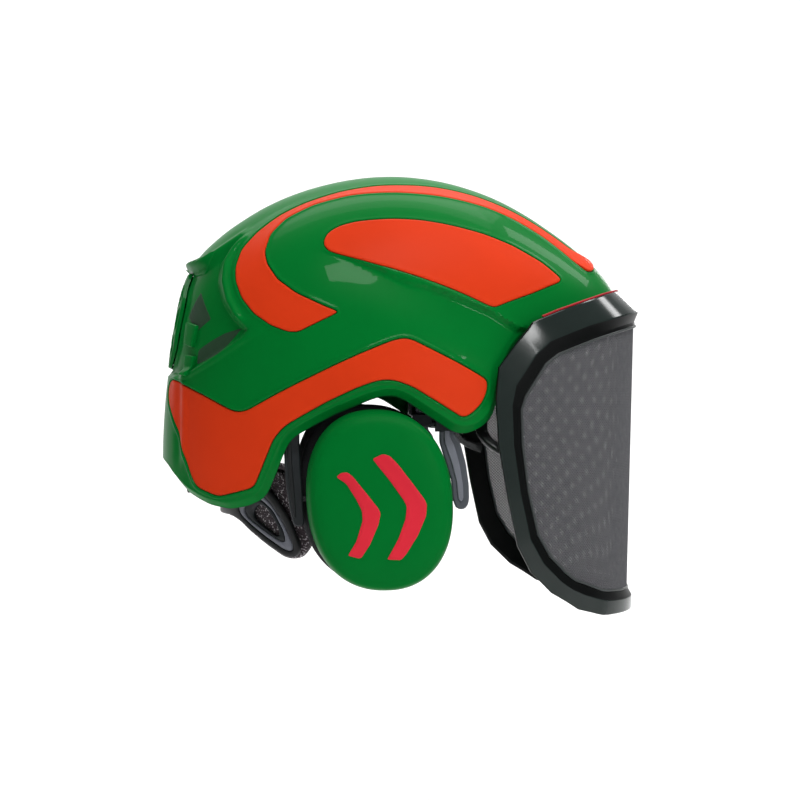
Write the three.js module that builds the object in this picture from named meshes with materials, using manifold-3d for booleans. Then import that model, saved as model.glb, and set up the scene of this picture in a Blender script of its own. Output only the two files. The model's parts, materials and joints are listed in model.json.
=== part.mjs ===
// Forestry helmet: hard outer shell with colour inlays, shock liner, sizing headband with a nape cradle and
// ratchet knob, two earmuffs carried on hinged telescopic legs, and a mesh face visor that swings up.
// Millimetres. +X is the wearer's forward direction, +Y the wearer's left, +Z up.
// The origin is the centre of the head opening, at the level of the headband's lower edge.
import * as THREE from "three";
import { mergeVertices } from "three/addons/utils/BufferGeometryUtils.js";
import Module from "manifold-3d";

const wasm = await Module();
wasm.setup();

// ---------- driving dimensions ----------
// Radii of the shell's median profile about the origin, every 7.5 degrees from the front (+X) over the crown.
const MEDIAN_RADII = [
  157.1, 157.5, 158.4, 159.3, 156.9, 151.9, 147.6, 144.7, 142.6, 140.7, 139.2, 138.0, 137.1, 136.4, 136.2, 136.6,
  137.4, 138.4, 139.9, 141.0, 138.8, 134.9, 132.0, 130.9, 131.6, 133.9, 137.9, 143.8, 151.4, 160.0, 168.7, 176.8,
  183.0, 186.3, 188.0, 188.7, 190.2, 192.1, 194.5, 197.6, 199.3, 198.4, 192.9, 184.3, 175.4, 167.3, 162.0, 158.5,
];
const SHELL_HALF_WIDTH = 104;
const SHELL_EXPONENT = 2.25; // superellipse exponent of the sections across the shell
const SHELL_THICKNESS = 4;
const FRONT_NARROWING = 0.16; // share by which the shell is narrower at the brow than at the ears
const SHELL_FACETS = 8; // subdivision of the shell's surface
const INLAY_PROUD = 0.7;
const INLAY_DEPTH = 1.2;
const POCKET_GAP = 0.35;
const LINER_OUTER = 4.5; // depth of the liner's outer face under the shell's outer face
const LINER_INNER = 17;
const HINGE_AXIS = { y: -86.5, z: -13.5 }; // earmuff fold axis, right side
const CUP = { x: -6, z: -56, halfWidth: 41, halfHeight: 50.7 };
const VISOR_PIVOT = { x: 56, z: 39 };
const VISOR = { centre: 48, length: 111, half: 98, exponent: 2.3 };
const BAND = { centre: 48, length: 99, half: 97.6, exponent: 2.15 }; // plan curve of the visor's top edge
const VISOR_WALL = 5;

// ---------- helpers ----------
const EPS = 1e-4;
function solidOf(geometry) {
  const g = geometry.clone();
  g.deleteAttribute("normal");
  g.deleteAttribute("uv");
  const merged = mergeVertices(g, EPS);
  return new wasm.Manifold(
    new wasm.Mesh({
      numProp: 3,
      vertProperties: new Float32Array(merged.attributes.position.array),
      triVerts: new Uint32Array(merged.index.array),
    }),
  );
}
function geometryOf(solid) {
  const m = solid.getMesh();
  const n = m.numProp;
  const v = new Float32Array(m.numVert * 3);
  for (let i = 0; i < m.numVert; i++) v.set(m.vertProperties.subarray(i * n, i * n + 3), i * 3);
  const g = new THREE.BufferGeometry();
  g.setAttribute("position", new THREE.BufferAttribute(v, 3));
  g.setIndex(new THREE.BufferAttribute(new Uint32Array(m.triVerts), 1));
  g.computeVertexNormals();
  return g;
}
function indexed(points, faces) {
  const g = new THREE.BufferGeometry();
  g.setAttribute("position", new THREE.BufferAttribute(new Float32Array(points.flat()), 3));
  g.setIndex(faces.flat());
  return g;
}
const union = (...s) => s.reduce((a, b) => a.add(b));
const shapeOf = (pts) => new THREE.Shape(pts.map((p) => new THREE.Vector2(p[0], p[1])));
function ccw(pts) {
  let a = 0;
  pts.forEach((p, i) => {
    const q = pts[(i + 1) % pts.length];
    a += p[0] * q[1] - q[0] * p[1];
  });
  return a < 0 ? [...pts].reverse() : pts;
}
// Moves a closed outline outwards by d (inwards if negative).
function grow(pts, d) {
  const c = ccw(pts);
  const n = c.length;
  return c.map((p, i) => {
    const a = c[(i + n - 1) % n], b = c[(i + 1) % n];
    const e1 = [p[0] - a[0], p[1] - a[1]], e2 = [b[0] - p[0], b[1] - p[1]];
    const l1 = Math.hypot(...e1), l2 = Math.hypot(...e2);
    const n1 = [e1[1] / l1, -e1[0] / l1], n2 = [e2[1] / l2, -e2[0] / l2];
    const k = 1 + n1[0] * n2[0] + n1[1] * n2[1];
    return [p[0] + (d * (n1[0] + n2[0])) / Math.max(k, 0.6), p[1] + (d * (n1[1] + n2[1])) / Math.max(k, 0.6)];
  });
}
function extrude(pts, depth, holes = []) {
  const s = shapeOf(ccw(pts));
  holes.forEach((h) => s.holes.push(new THREE.Path(h.map((p) => new THREE.Vector2(p[0], p[1])))));
  return new THREE.ExtrudeGeometry(s, { depth, bevelEnabled: false, steps: 1 });
}
// Outline in (x, z), run along Y from y0 to y1.
function alongY(pts, y0, y1, holes) {
  return solidOf(extrude(pts, y1 - y0, holes).rotateX(Math.PI / 2).translate(0, y1, 0));
}
// Outline in (y, z), run along X.
function alongX(pts, x0, x1, holes) {
  const m = new THREE.Matrix4().makeBasis(
    new THREE.Vector3(0, 1, 0), new THREE.Vector3(0, 0, 1), new THREE.Vector3(1, 0, 0));
  return solidOf(extrude(pts, x1 - x0, holes).applyMatrix4(m).translate(x0, 0, 0));
}
// Outline in (x, y), run along Z.
function alongZ(pts, z0, z1, holes) {
  return solidOf(extrude(pts, z1 - z0, holes).translate(0, 0, z0));
}
const box = (x0, x1, y0, y1, z0, z1) =>
  solidOf(new THREE.BoxGeometry(x1 - x0, y1 - y0, z1 - z0).translate((x0 + x1) / 2, (y0 + y1) / 2, (z0 + z1) / 2));
const rodX = (r, x0, x1, y, z, n = 20) =>
  solidOf(new THREE.CylinderGeometry(r, r, x1 - x0, n).rotateZ(Math.PI / 2).translate((x0 + x1) / 2, y, z));
const rodY = (r, y0, y1, x, z, n = 24) =>
  solidOf(new THREE.CylinderGeometry(r, r, y1 - y0, n).translate(x, (y0 + y1) / 2, z));
function spline(pts, count, closed = false) {
  const c = new THREE.CatmullRomCurve3(pts.map((p) => new THREE.Vector3(p[0], p[1], p[2] ?? 0)), closed, "centripetal");
  return c.getPoints(count).slice(0, closed ? count : count + 1).map((p) => [p.x, p.y, p.z]);
}
const mirrored = (solid) => solid.mirror([0, 1, 0]);

// ---------- the shell's surface ----------
function medianRadius(psi) {
  const n = MEDIAN_RADII.length;
  const x = (((psi / (2 * Math.PI)) % 1) + 1) % 1 * n;
  const i = Math.floor(x), t = x - i;
  const [a, b, c, d] = [-1, 0, 1, 2].map((k) => MEDIAN_RADII[(i + k + n) % n]);
  return 0.5 * (2 * b + (c - a) * t + (2 * a - 5 * b + 4 * c - d) * t * t + (3 * b - a - 3 * c + d) * t ** 3);
}
function narrowing(x) {
  const t = Math.min(1, Math.max(0, (x + 20) / 160));
  return 1 - FRONT_NARROWING * t * t * (3 - 2 * t);
}
function level(p) {
  const rho = Math.hypot(p[0], p[2]) / medianRadius(Math.atan2(p[2], p[0]));
  return rho ** SHELL_EXPONENT + (Math.abs(p[1]) / (SHELL_HALF_WIDTH * narrowing(p[0]))) ** SHELL_EXPONENT;
}
function surfacePoint(d) {
  let r = 140;
  for (let k = 0; k < 30; k++) {
    const f = level([d[0] * r, d[1] * r, d[2] * r]) ** (1 / SHELL_EXPONENT);
    r = r * (0.5 + 0.5 / f);
  }
  return [d[0] * r, d[1] * r, d[2] * r];
}
function surfaceNormal(p) {
  const e = 0.3;
  const g = [0, 1, 2].map((k) => {
    const a = [...p], b = [...p];
    a[k] += e;
    b[k] -= e;
    return level(a) - level(b);
  });
  const l = Math.hypot(...g);
  return g.map((v) => v / l);
}
// The shell's closed surface moved along its normals by `offset`.
const ICO = (() => {
  const g = new THREE.IcosahedronGeometry(1, SHELL_FACETS);
  g.deleteAttribute("normal");
  g.deleteAttribute("uv");
  const merged = mergeVertices(g, EPS);
  const v = merged.attributes.position.array;
  const base = [];
  for (let i = 0; i < v.length; i += 3) {
    const l = Math.hypot(v[i], v[i + 1], v[i + 2]);
    const p = surfacePoint([v[i] / l, v[i + 1] / l, v[i + 2] / l]);
    base.push([p, surfaceNormal(p)]);
  }
  return { base, index: [...merged.index.array] };
})();
function dome(offset) {
  const pts = ICO.base.map(([p, n]) => [p[0] + n[0] * offset, p[1] + n[1] * offset, p[2] + n[2] * offset]);
  return solidOf(indexed(pts, [ICO.index]));
}
const skin = (outer, inner) => dome(outer).subtract(dome(inner));

// ---------- outlines, side view (x, z) ----------
const RIM = [
  [-160, -32], [-136.5, -36.8], [-129.6, -40.6], [-125.3, -46], [-116.9, -54.1], [-104.1, -60.3], [-91.8, -62.3],
  [-81.5, -60.3], [-73.5, -56.7], [-69.6, -52.3], [-64.5, -39.9], [-58.9, -25.8], [-55, -20.7], [-44.4, -14.5],
  [-30.5, -7.5], [-17.2, -2.1], [-9.9, 0.9], [-2.1, 2.7], [4.1, 2.2], [9.8, -0.6], [20, -7.3], [28.1, -12.4],
  [36.2, -17.5], [41.5, -18.9], [47.4, -18], [54.5, -14.5], [59.9, -9.1], [62.3, -2.3], [64, 6], [66, 16],
  [73, 28], [80, 36], [87, 40], [100, 45.5], [113, 50.5], [130, 57], [170, 72],
];
const SIDE_INLAY = [
  [-126.1, 13.1], [-128.2, 7.2], [-128, -1], [-125.2, -9.4], [-122.2, -17.6], [-117.7, -29.7], [-113.3, -43.4],
  [-109.9, -50.2], [-98.2, -54.8], [-94.7, -54.7], [-76.5, -49.5], [-71.7, -37.5], [-65.4, -21.7], [-59.1, -14.6],
  [-50.6, -9.5], [-35, -0.8], [-19.4, 6.5], [-9.9, 10], [-4.3, 11.2], [2.4, 11], [12, 7.6], [28.2, -2], [41.3, -10.2],
  [46, -8.2], [52.5, -2], [55.6, 5.1], [56, 11.4], [47.4, 16.4], [39.8, 20.6], [16.7, 32], [12.1, 34.2], [7.1, 35],
  [0.3, 33.3], [-19, 25.3], [-40.3, 15.3], [-63.8, 3.5], [-80.3, -5.8], [-86, -6.8], [-90.9, -5.1], [-104.1, 2],
  [-120.3, 10.3],
];
const CREST_INLAY = [
  [122.9, 76.8], [127.6, 78], [129, 81.5], [127.2, 85], [122.3, 87], [114.3, 92], [96.6, 104], [78.7, 113.6],
  [55, 122.4], [31.3, 126.9], [8, 127.6], [-6.2, 126.8], [-26.7, 123], [-47.1, 116.1], [-62.2, 108.4], [-75.3, 98.1],
  [-84.2, 87.6], [-87.6, 76.9], [-87.4, 68.6], [-83.8, 58.3], [-76.8, 49.1], [-67.1, 42.1], [-57.3, 38.3],
  [-51.6, 38.2], [-38.1, 44.9], [-28.5, 49.6], [-38.1, 53.6], [-52.5, 60.6], [-63.2, 68.9], [-69.2, 78.3],
  [-70.6, 85.6], [-67.3, 96.4], [-58.3, 106], [-42.1, 114.4], [-21.9, 120], [-1.7, 121.9], [20.6, 121.5],
  [36.1, 120], [59.5, 115], [77.4, 108.2], [95.2, 98.2], [106.7, 89.6], [115.4, 82.3],
];
const BROW_INLAY = [
  [-37.2, 90.9], [-34.6, 96.2], [-27.7, 100.4], [-17.7, 103.1], [2.1, 104.8], [19, 104.3], [34.2, 102.2],
  [57.2, 97], [74.7, 90.6], [92.2, 81.3], [103.3, 72.4], [103.9, 70], [84.4, 61.9], [66.2, 55.2], [61.5, 53.1],
  [58.1, 53.6], [43.4, 60.3], [26.7, 66.6], [10.3, 72], [-8.7, 77.4], [-23.2, 81.5], [-33.9, 84.7], [-36.7, 87.9],
];
const LINER_RIM = [
  [-160, -8], [-112, -12], [-84, -8], [-70, 3], [-64, 12], [-46, 14], [-24, 18], [-15, 29], [13, 29], [20, 38],
  [38, 52], [60, 58], [90, 64], [160, 84],
];
const above = (line, top = 200) => [...line, [line.at(-1)[0], top], [line[0][0], top]];

// Rear vent, seen from behind (y, z).
const VENT = [[-21, 77], [21, 77], [30, 56], [27, 30], [17, 19], [-17, 19], [-27, 30], [-30, 56]];

// ---------- nodes ----------
const nodes = {};
const material = (color, roughness, metalness = 0) => new THREE.MeshStandardMaterial({ color, roughness, metalness });
const GREEN = material(0x03782e, 0.28);
const DARK_GREEN = material(0x0a4a24, 0.35);
const ORANGE = material(0xe0421c, 0.32);
const CORAL = material(0xd93248, 0.45);
const BLACK = material(0x1c2221, 0.35);
const MESH_GREY = material(0x5c5c60, 0.55, 0.4);
const GREY = material(0x55585e, 0.45);
const FOAM = material(0x26272a, 0.95);
const FABRIC = material(0x3a3238, 0.95);
const STEEL = material(0xb8bcc0, 0.3, 1);
const RED = material(0xb3202c, 0.5);
const put = (name, solid, mat, body) => (nodes[name] = { solid: solid.simplify(0.04), mat, body });
function pair(name, solid, mat, body, side = "") {
  put(`${name}_right`, solid, mat, side ? `right_${body}` : body);
  put(`${name}_left`, mirrored(solid), mat, side ? `left_${body}` : body);
}

// Colour inlays, set into pockets in the shell.
const pocketLayer = skin(4, -(INLAY_DEPTH + POCKET_GAP));
const inlayLayer = skin(INLAY_PROUD, -INLAY_DEPTH);
let shell = dome(0).intersect(alongY(above(RIM), -130, 130)).subtract(dome(-SHELL_THICKNESS));
for (const [name, outline] of [["side_inlay", SIDE_INLAY], ["crest_inlay", CREST_INLAY], ["brow_inlay", BROW_INLAY]]) {
  const y1 = name === "crest_inlay" ? -12 : -20;
  pair(name, inlayLayer.intersect(alongY(outline, -130, y1)), ORANGE, "helmet");
  const pocket = pocketLayer.intersect(alongY(grow(outline, POCKET_GAP), -130, y1 + POCKET_GAP));
  shell = shell.subtract(pocket).subtract(mirrored(pocket));
}
shell = shell.subtract(alongX(VENT, -160, -60));
put("outer_shell", shell, GREEN, "helmet");

// Rear vent grille: a rim with a spine, two bars and a cross.
const bar = (a, b, w) => {
  const d = Math.hypot(b[0] - a[0], b[1] - a[1]);
  const n = [(-(b[1] - a[1]) / d) * w, ((b[0] - a[0]) / d) * w];
  return [[a[0] + n[0], a[1] + n[1]], [b[0] + n[0], b[1] + n[1]], [b[0] - n[0], b[1] - n[1]], [a[0] - n[0], a[1] - n[1]]];
};
const grilleOutline = grow(VENT, -0.4);
const grilleBars = union(
  alongX(grilleOutline, -160, -60, [grow(VENT, -5)]),
  alongX(bar([0, 18], [0, 78], 2.6), -160, -60),
  alongX(bar([-28, 58], [28, 58], 2.2), -160, -60),
  alongX(bar([-27, 34], [27, 34], 2.2), -160, -60),
  alongX(bar([-26, 32], [26, 60], 1.8), -160, -60),
  alongX(bar([26, 32], [-26, 60], 1.8), -160, -60),
).intersect(alongX(grilleOutline, -160, -60));
put("rear_vent_grille", skin(1.2, -3.6).intersect(grilleBars), DARK_GREEN, "helmet");

// Shock liner, with relief for the visor arms and for the headband hangers.
let liner = dome(-LINER_OUTER).subtract(dome(-LINER_INNER)).intersect(alongY(above(LINER_RIM), -130, 130));
for (const vent of [[-30, -20], [-5, 5], [20, 30]])
  liner = liner.subtract(alongX([[vent[0], 70], [vent[1], 70], [vent[1], 100], [vent[0], 100]], -160, -60));
// Headband hangers: (x, y) of the headband's outer face and the outward direction in degrees.
const HANGERS = { front: [72, -59.1, -50.6], rear: [-58, -65.5, -132] };

// Headband outline in plan: front and rear half ellipses joined by straight sides.
function ring(grown, n = 40, frontOnly = false, rearOnly = false) {
  const pts = [];
  for (let i = 0; i <= n / 2; i++) {
    const t = -Math.PI / 2 + (Math.PI * i) / (n / 2);
    if (!rearOnly) pts.push([12 + (89 + grown) * Math.cos(t), (80 + grown) * Math.sin(t)]);
  }
  for (let i = 0; i <= n / 2; i++) {
    const t = Math.PI / 2 + (Math.PI * i) / (n / 2);
    if (!frontOnly) pts.push([-14 + (80 + grown) * Math.cos(t), (80 + grown) * Math.sin(t)]);
  }
  return pts;
}
const ringWall = (outer, inner, z0, z1) => alongZ(ring(outer), z0, z1).subtract(alongZ(ring(inner), z0 - 1, z1 + 1));
put("headband", ringWall(0, -2, 0, 60).intersect(
  alongY([[-12, 9], [12, 9], [60, 18], [110, 27], [110, 52], [60, 44], [12, 30], [-12, 30]], -100, 100)), BLACK, "helmet");
put("sweatband", ringWall(-2.4, -8, 0, 60).intersect(
  alongY([[24, 12], [60, 15.5], [110, 24.5], [110, 54.5], [60, 46.5], [24, 34]], -100, 100)), FABRIC, "helmet");
// Sleeves at the ends of the headband, which the nape straps slide in.
const sleeve = box(-12, 10, -85.4, -80.35, 9.5, 27).subtract(box(-20, 20, -83.1, -80.6, 11.2, 25.3));
pair("strap_sleeve", sleeve, BLACK, "helmet");

for (const [key, [x, y, degrees]] of Object.entries(HANGERS)) {
  const turn = (s) => s.rotate([0, 0, degrees]).translate([x, y, 0]);
  const plate = union(box(0.9, 3.4, -7, 7, 30, 70), box(0.9, 12, -5, 5, 60, 66));
  const peg = turn(plate);
  pair(`hanger_${key}`, peg.subtract(skin(60, -LINER_OUTER - 3)), GREY, "helmet");
  const hole = turn(union(box(0.4, 3.9, -7.5, 7.5, 29.5, 70.5), box(0.4, 40, -5.5, 5.5, 59.5, 66.5)));
  liner = liner.subtract(hole).subtract(mirrored(hole));
}
put("shock_liner", liner, FOAM, "helmet");
const crown = [];
for (let i = 0; i < 20; i++) {
  const t = (2 * Math.PI * i) / 20;
  crown.push([-2 + 58 * Math.cos(t), 36 * Math.sin(t)]);
}
put("crown_pad", skin(-LINER_INNER - 0.4, -LINER_INNER - 5).intersect(alongZ(crown, 20, 160)), FABRIC, "helmet");

// ---------- visor ----------
const planCurve = (c, t) => [
  c.centre + c.length * Math.cos(t) ** (2 / c.exponent),
  -c.half * Math.sin(t) ** (2 / c.exponent),
];
const angleAt = (c, x) => Math.acos(Math.min(1, ((x - c.centre) / c.length) ** (c.exponent / 2)));
const valueAt = (table, x) => {
  for (let i = 1; i < table.length; i++)
    if (x >= table[i][0]) {
      const [a, b] = [table[i - 1], table[i]];
      return a[1] + ((b[1] - a[1]) * (x - a[0])) / (b[0] - a[0]);
    }
  return table.at(-1)[1];
};
// Heights of the frame's outer and inner edges by x, for the top and bottom bands, front to back.
const TOP_OUTER = [[148, 67.6], [130, 62.5], [112, 56.3], [98, 51.3], [85, 46], [76, 41.5]];
const TOP_INNER = [[160, 52.6], [140, 46], [122.9, 39.6], [97.4, 31.1], [88.4, 27.3]];
const LOW_OUTER = [[160, -126.5], [149, -126.2], [131, -125.5], [111, -121], [93, -110.5]];
const LOW_INNER = [[160, -114.5], [146, -113.8], [131, -112], [108, -105], [101, -99.5]];
const onVisor = (x) => planCurve(VISOR, angleAt(VISOR, x));
const onBand = (x) => planCurve(BAND, angleAt(BAND, x));
const stations = []; // [outer edge, inner edge], from the top at the middle, down the right side, to the bottom
const TOP_STEPS = 9, LOW_STEPS = 8;
for (let i = 0; i <= TOP_STEPS; i++) {
  const q = i / TOP_STEPS;
  const o = planCurve(BAND, q * angleAt(BAND, 76));
  const n = planCurve(VISOR, q * angleAt(VISOR, 88.4));
  stations.push([[...o, valueAt(TOP_OUTER, o[0])], [...n, valueAt(TOP_INNER, n[0])]]);
}
for (const [o, n] of [
  [[67, 31.5], [82.5, 18]], [[60.8, 18.5], [76.5, 5.5]], [[60, 0], [74.4, -4]], [[61.5, -25], [75, -26]],
  [[66.6, -55], [78.6, -53]], [[72.6, -83], [84.2, -77]], [[80.5, -98], [92, -90.3]],
])
  stations.push([[...onBand(o[0]), o[1]], [...onVisor(n[0]), n[1]]]);
for (let i = 0; i <= LOW_STEPS; i++) {
  const q = 1 - i / LOW_STEPS;
  const o = planCurve(VISOR, q * angleAt(VISOR, 93));
  const n = planCurve(VISOR, q * angleAt(VISOR, 101));
  stations.push([[...o, valueAt(LOW_OUTER, o[0])], [...n, valueAt(LOW_INNER, n[0])]]);
}
// Outward direction in plan of the visor's wall.
function planNormal(p) {
  const u = Math.max(0, (p[0] - VISOR.centre) / VISOR.length), v = Math.abs(p[1]) / VISOR.half;
  const g = [u ** (VISOR.exponent - 1) / VISOR.length, (-(v ** (VISOR.exponent - 1))) / VISOR.half];
  const l = Math.hypot(...g);
  return [g[0] / l, g[1] / l];
}
// A closed ring swept round the visor's stations. section(outer, inner, normal) gives its corner points.
function sweepRing(section) {
  const half = stations.map(([o, n]) => section(o, n, planNormal([(o[0] + n[0]) / 2, (o[1] + n[1]) / 2])));
  const flip = (s) => s.map((p) => [p[0], -p[1], p[2]]);
  const all = [...half, ...half.slice(1, -1).reverse().map(flip)];
  const k = all[0].length;
  const pts = all.flat();
  const faces = [];
  for (let i = 0; i < all.length; i++)
    for (let j = 0; j < k; j++) {
      const a = i * k + j, b = i * k + ((j + 1) % k);
      const c = ((i + 1) % all.length) * k + j, d = ((i + 1) % all.length) * k + ((j + 1) % k);
      faces.push([a, b, c], [b, d, c]);
    }
  const made = solidOf(indexed(pts, faces));
  return made.volume() > 0 ? made : solidOf(indexed(pts, faces.map(([a, b, c]) => [a, c, b])));
}
const lerp = (a, b, t) => a.map((v, i) => v + (b[i] - v) * t);
const inward = (p, n, d, dz = 0) => [p[0] - n[0] * d, p[1] - n[1] * d, p[2] + dz];
put("visor_frame", sweepRing((o, n, d) => [
  o, inward(lerp(o, n, 0.45), d, -1.6), n, inward(n, d, VISOR_WALL), inward(lerp(o, n, 0.5), d, VISOR_WALL - 0.4),
  inward(lerp(o, n, 0.02), d, 3.2),
]), BLACK, "visor");
const toHole = (o, n, d) => {
  const v = n.map((x, i) => x - o[i]);
  const l = Math.hypot(...v);
  return n.map((x, i) => x + (v[i] / l) * d);
};
put("mesh_bead", sweepRing((o, n, d) => [
  inward(toHole(o, n, 0.35), d, 0.5), inward(toHole(o, n, 2.8), d, 0.9), inward(toHole(o, n, 2.8), d, 2.2),
  inward(toHole(o, n, 0.35), d, 2.2),
]), GREY, "visor");
function visorPlan(depth, n = 32) {
  const right = [];
  for (let i = 0; i <= n / 2; i++) {
    const t = Math.min(Math.PI / 2 - 1e-3, (Math.PI / 2) * (i / (n / 2)));
    const p = planCurve(VISOR, t), d = planNormal(p);
    right.push([p[0] - d[0] * depth, Math.min(p[1] - d[1] * depth, -EPS * (i === 0 ? 0 : 1))]);
  }
  right[0][1] = 0;
  const left = right.slice(1).map(([x, y]) => [x, -y]).reverse();
  return [...left, ...right, [20, right.at(-1)[1]], [20, -right.at(-1)[1]]];
}
const meshOutline = grow([
  ...stations.map(([, n]) => [n[0], n[2]]).slice(1, -1), [175, -114.5], [175, 57],
].map(([x, z]) => [x, z]), -1.7);
put("visor_mesh",
  alongZ(visorPlan(2.6), -130, 75).subtract(alongZ(visorPlan(3.6), -131, 76))
    .subtract(box(0, 60, -120, 120, -140, 90)).intersect(alongY(meshOutline, -130, 130)), MESH_GREY, "visor");
// Arms: a flat bar inside the shell from the pivot down, then a bar outwards under the shell's edge to the frame.
const arm = union(
  alongY(spline([[52, 46], [60, 46], [63.5, 39], [60, 20], [57.5, -12], [59.5, -27], [50, -29], [47.5, -20], [50, 5], [48.5, 39]], 26, true), -77, -74.5),
  box(50.5, 59.5, -90, -75, -28.5, -22.6),
  alongY([[51, -28.5], [58, -29], [70, -36], [74, -34], [74, -27.5], [70, -24], [58, -22.6], [51, -22.6]], -91, -87.6),
).subtract(rodY(3.15, -82, -70, VISOR_PIVOT.x, VISOR_PIVOT.z));
pair("visor_arm", arm, STEEL, "visor");
const pivotRod = union(
  rodY(8, -90, -77.35, VISOR_PIVOT.x, VISOR_PIVOT.z).intersect(dome(-SHELL_THICKNESS - 0.35)),
  rodY(3, -78, -73.4, VISOR_PIVOT.x, VISOR_PIVOT.z),
  rodY(5.2, -74.15, -72.4, VISOR_PIVOT.x, VISOR_PIVOT.z),
);
pair("visor_pivot", pivotRod, BLACK, "helmet");

// ---------- earmuffs, right side ----------
// Hinge brackets on the shell's inside, hinge blocks that carry the legs, and the legs.
const LEG_X = { front: 33, rear: -55 };
const LEG_PATH = {
  front: [[28.7, 8], [37.3, 8], [37.3, -19.5], [40.6, -24], [43.9, -36], [45.6, -48], [45.6, -57], [43.2, -61.8], [38.5, -61.8], [36.2, -56], [35.6, -46], [32.5, -36], [28.7, -24]],
  rear: [[-59.3, 8], [-50.7, 8], [-50.7, -24], [-49.9, -40], [-48.9, -52], [-48.6, -60], [-47.6, -69], [-48.5, -71.5], [-54, -71], [-56.2, -62], [-58.2, -50], [-59.3, -36]],
};
const BOSS_X = { front: [36.4, 44.2], rear: [-56.4, -49] };
for (const key of ["front", "rear"]) {
  const x = LEG_X[key], { y, z } = HINGE_AXIS;
  const reach = key === "front" ? 9 : 11;
  const bracket = box(x - reach, x + reach, y - 14, y + 4.6, z - 4.5, z + 13)
    .intersect(dome(-SHELL_THICKNESS - 0.35))
    .intersect(alongY(above(RIM.map(([a, b]) => [a, b + 0.6])), -130, 0))
    .subtract(box(x - 6.9, x + 6.9, y - 30, y + 6, z - 8, z + 30))
    .add(box(x - 7.4, x + 7.4, y - 10, y - 2.7, z + 8, z + 13).intersect(dome(-SHELL_THICKNESS - 0.35)))
    .subtract(rodX(1.75, x - 20, x + 20, y, z));
  pair(`muff_bracket_${key}`, bracket, BLACK, "helmet");
  const block = alongX([[y - 3.4, z - 3.6], [y - 2.4, z - 4.5], [y + 2.4, z - 4.5], [y + 3.4, z - 3.6], [y + 3.4, z + 3.6],
    [y + 2.4, z + 4.5], [y - 2.4, z + 4.5], [y - 3.4, z + 3.6]], x - 6.5, x + 6.5)
    .add(rodX(1.65, x - reach + 0.2, x + reach - 0.2, y, z))
    .subtract(box(x - 4.65, x + 4.65, y - 2.35, y + 2.35, z - 10, z + 10));
  pair(`muff_block_${key}`, block, GREY, "muff_hinge", "side");
  const [b0, b1] = BOSS_X[key];
  const leg = alongY(LEG_PATH[key], y - 2, y + 2).add(rodX(4.4, b0, b1, y, CUP.z)).subtract(rodX(2.15, b0 - 9, b1 + 9, y, CUP.z));
  pair(`muff_leg_${key}`, leg, key === "front" ? GREY : BLACK, "muff_legs", "side");
}
// Oval of the cup, slightly fuller at the top rear and drawn forward at the bottom.
function oval(a, b, n = 24) {
  const pts = [];
  for (let i = 0; i < n; i++) {
    const t = (2 * Math.PI * i) / n;
    const c = Math.cos(t), s = Math.sin(t);
    const e = 2 / 2.25;
    const px = a * Math.sign(c) * Math.abs(c) ** e, pz = b * Math.sign(s) * Math.abs(s) ** e;
    pts.push([CUP.x + px - 0.055 * pz, CUP.z + pz]);
  }
  return pts;
}
// A closed body of oval sections [y, half width, half height]; the first and last are its middles.
function ovalBody(sections, n = 24) {
  const pts = [], faces = [];
  pts.push([CUP.x, sections[0][0], CUP.z]);
  for (const [y, a, b] of sections.slice(1, -1)) oval(a, b, n).forEach(([px, pz]) => pts.push([px, y, pz]));
  pts.push([CUP.x, sections.at(-1)[0], CUP.z]);
  const rings = sections.length - 2;
  for (let j = 0; j < n; j++) {
    faces.push([0, 1 + ((j + 1) % n), 1 + j]);
    for (let i = 0; i < rings - 1; i++) {
      const a = 1 + i * n + j, b = 1 + i * n + ((j + 1) % n);
      faces.push([a, b, a + n], [b, b + n, a + n]);
    }
    const e = 1 + (rings - 1) * n;
    faces.push([e + j, e + ((j + 1) % n), pts.length - 1]);
  }
  const made = solidOf(indexed(pts, faces));
  return made.volume() > 0 ? made : solidOf(indexed(pts, faces.map(([a, b, c]) => [a, c, b])));
}
const { halfWidth: A, halfHeight: B } = CUP;
const cupOuter = (g) => [
  [-118 - g, 0, 0], [-117.6 - g, A * 0.42, B * 0.42], [-116.2 - g, A * 0.68, B * 0.7], [-113 - g * 0.9, A * 0.85 + g * 0.4, B * 0.86 + g * 0.4],
  [-107 - g * 0.5, A * 0.955 + g, B * 0.96 + g], [-99, A + g, B + g],
];
put("ear_cup_right", ovalBody([
  ...cupOuter(0), [-90, A - 0.3, B - 0.3], [-86.2, A - 1.6, B - 1.6], [-86.2, A - 5, B - 5], [-98, A - 3, B - 3],
  [-106, A * 0.9 - 2, B * 0.92 - 2], [-112.5, A * 0.7, B * 0.72], [-114.8, 0, 0],
]).add(rodX(1.85, CUP.x + A - 4, 44.6, HINGE_AXIS.y, CUP.z))
  .add(rodX(1.85, -56.6, CUP.x - A + 4, HINGE_AXIS.y, CUP.z))
  .subtract(box(-100, 100, -86.15, -60, -80, -30).intersect(alongY(oval(A - 1.2, B - 1.2), -100, 0))), GREEN, "right_muff_cup");
put("cup_plate_right", alongY(oval(A - 1.5, B - 1.5), -85.8, -84.2, [oval(A - 15, B - 15)]), BLACK, "right_muff_cup");
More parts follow.
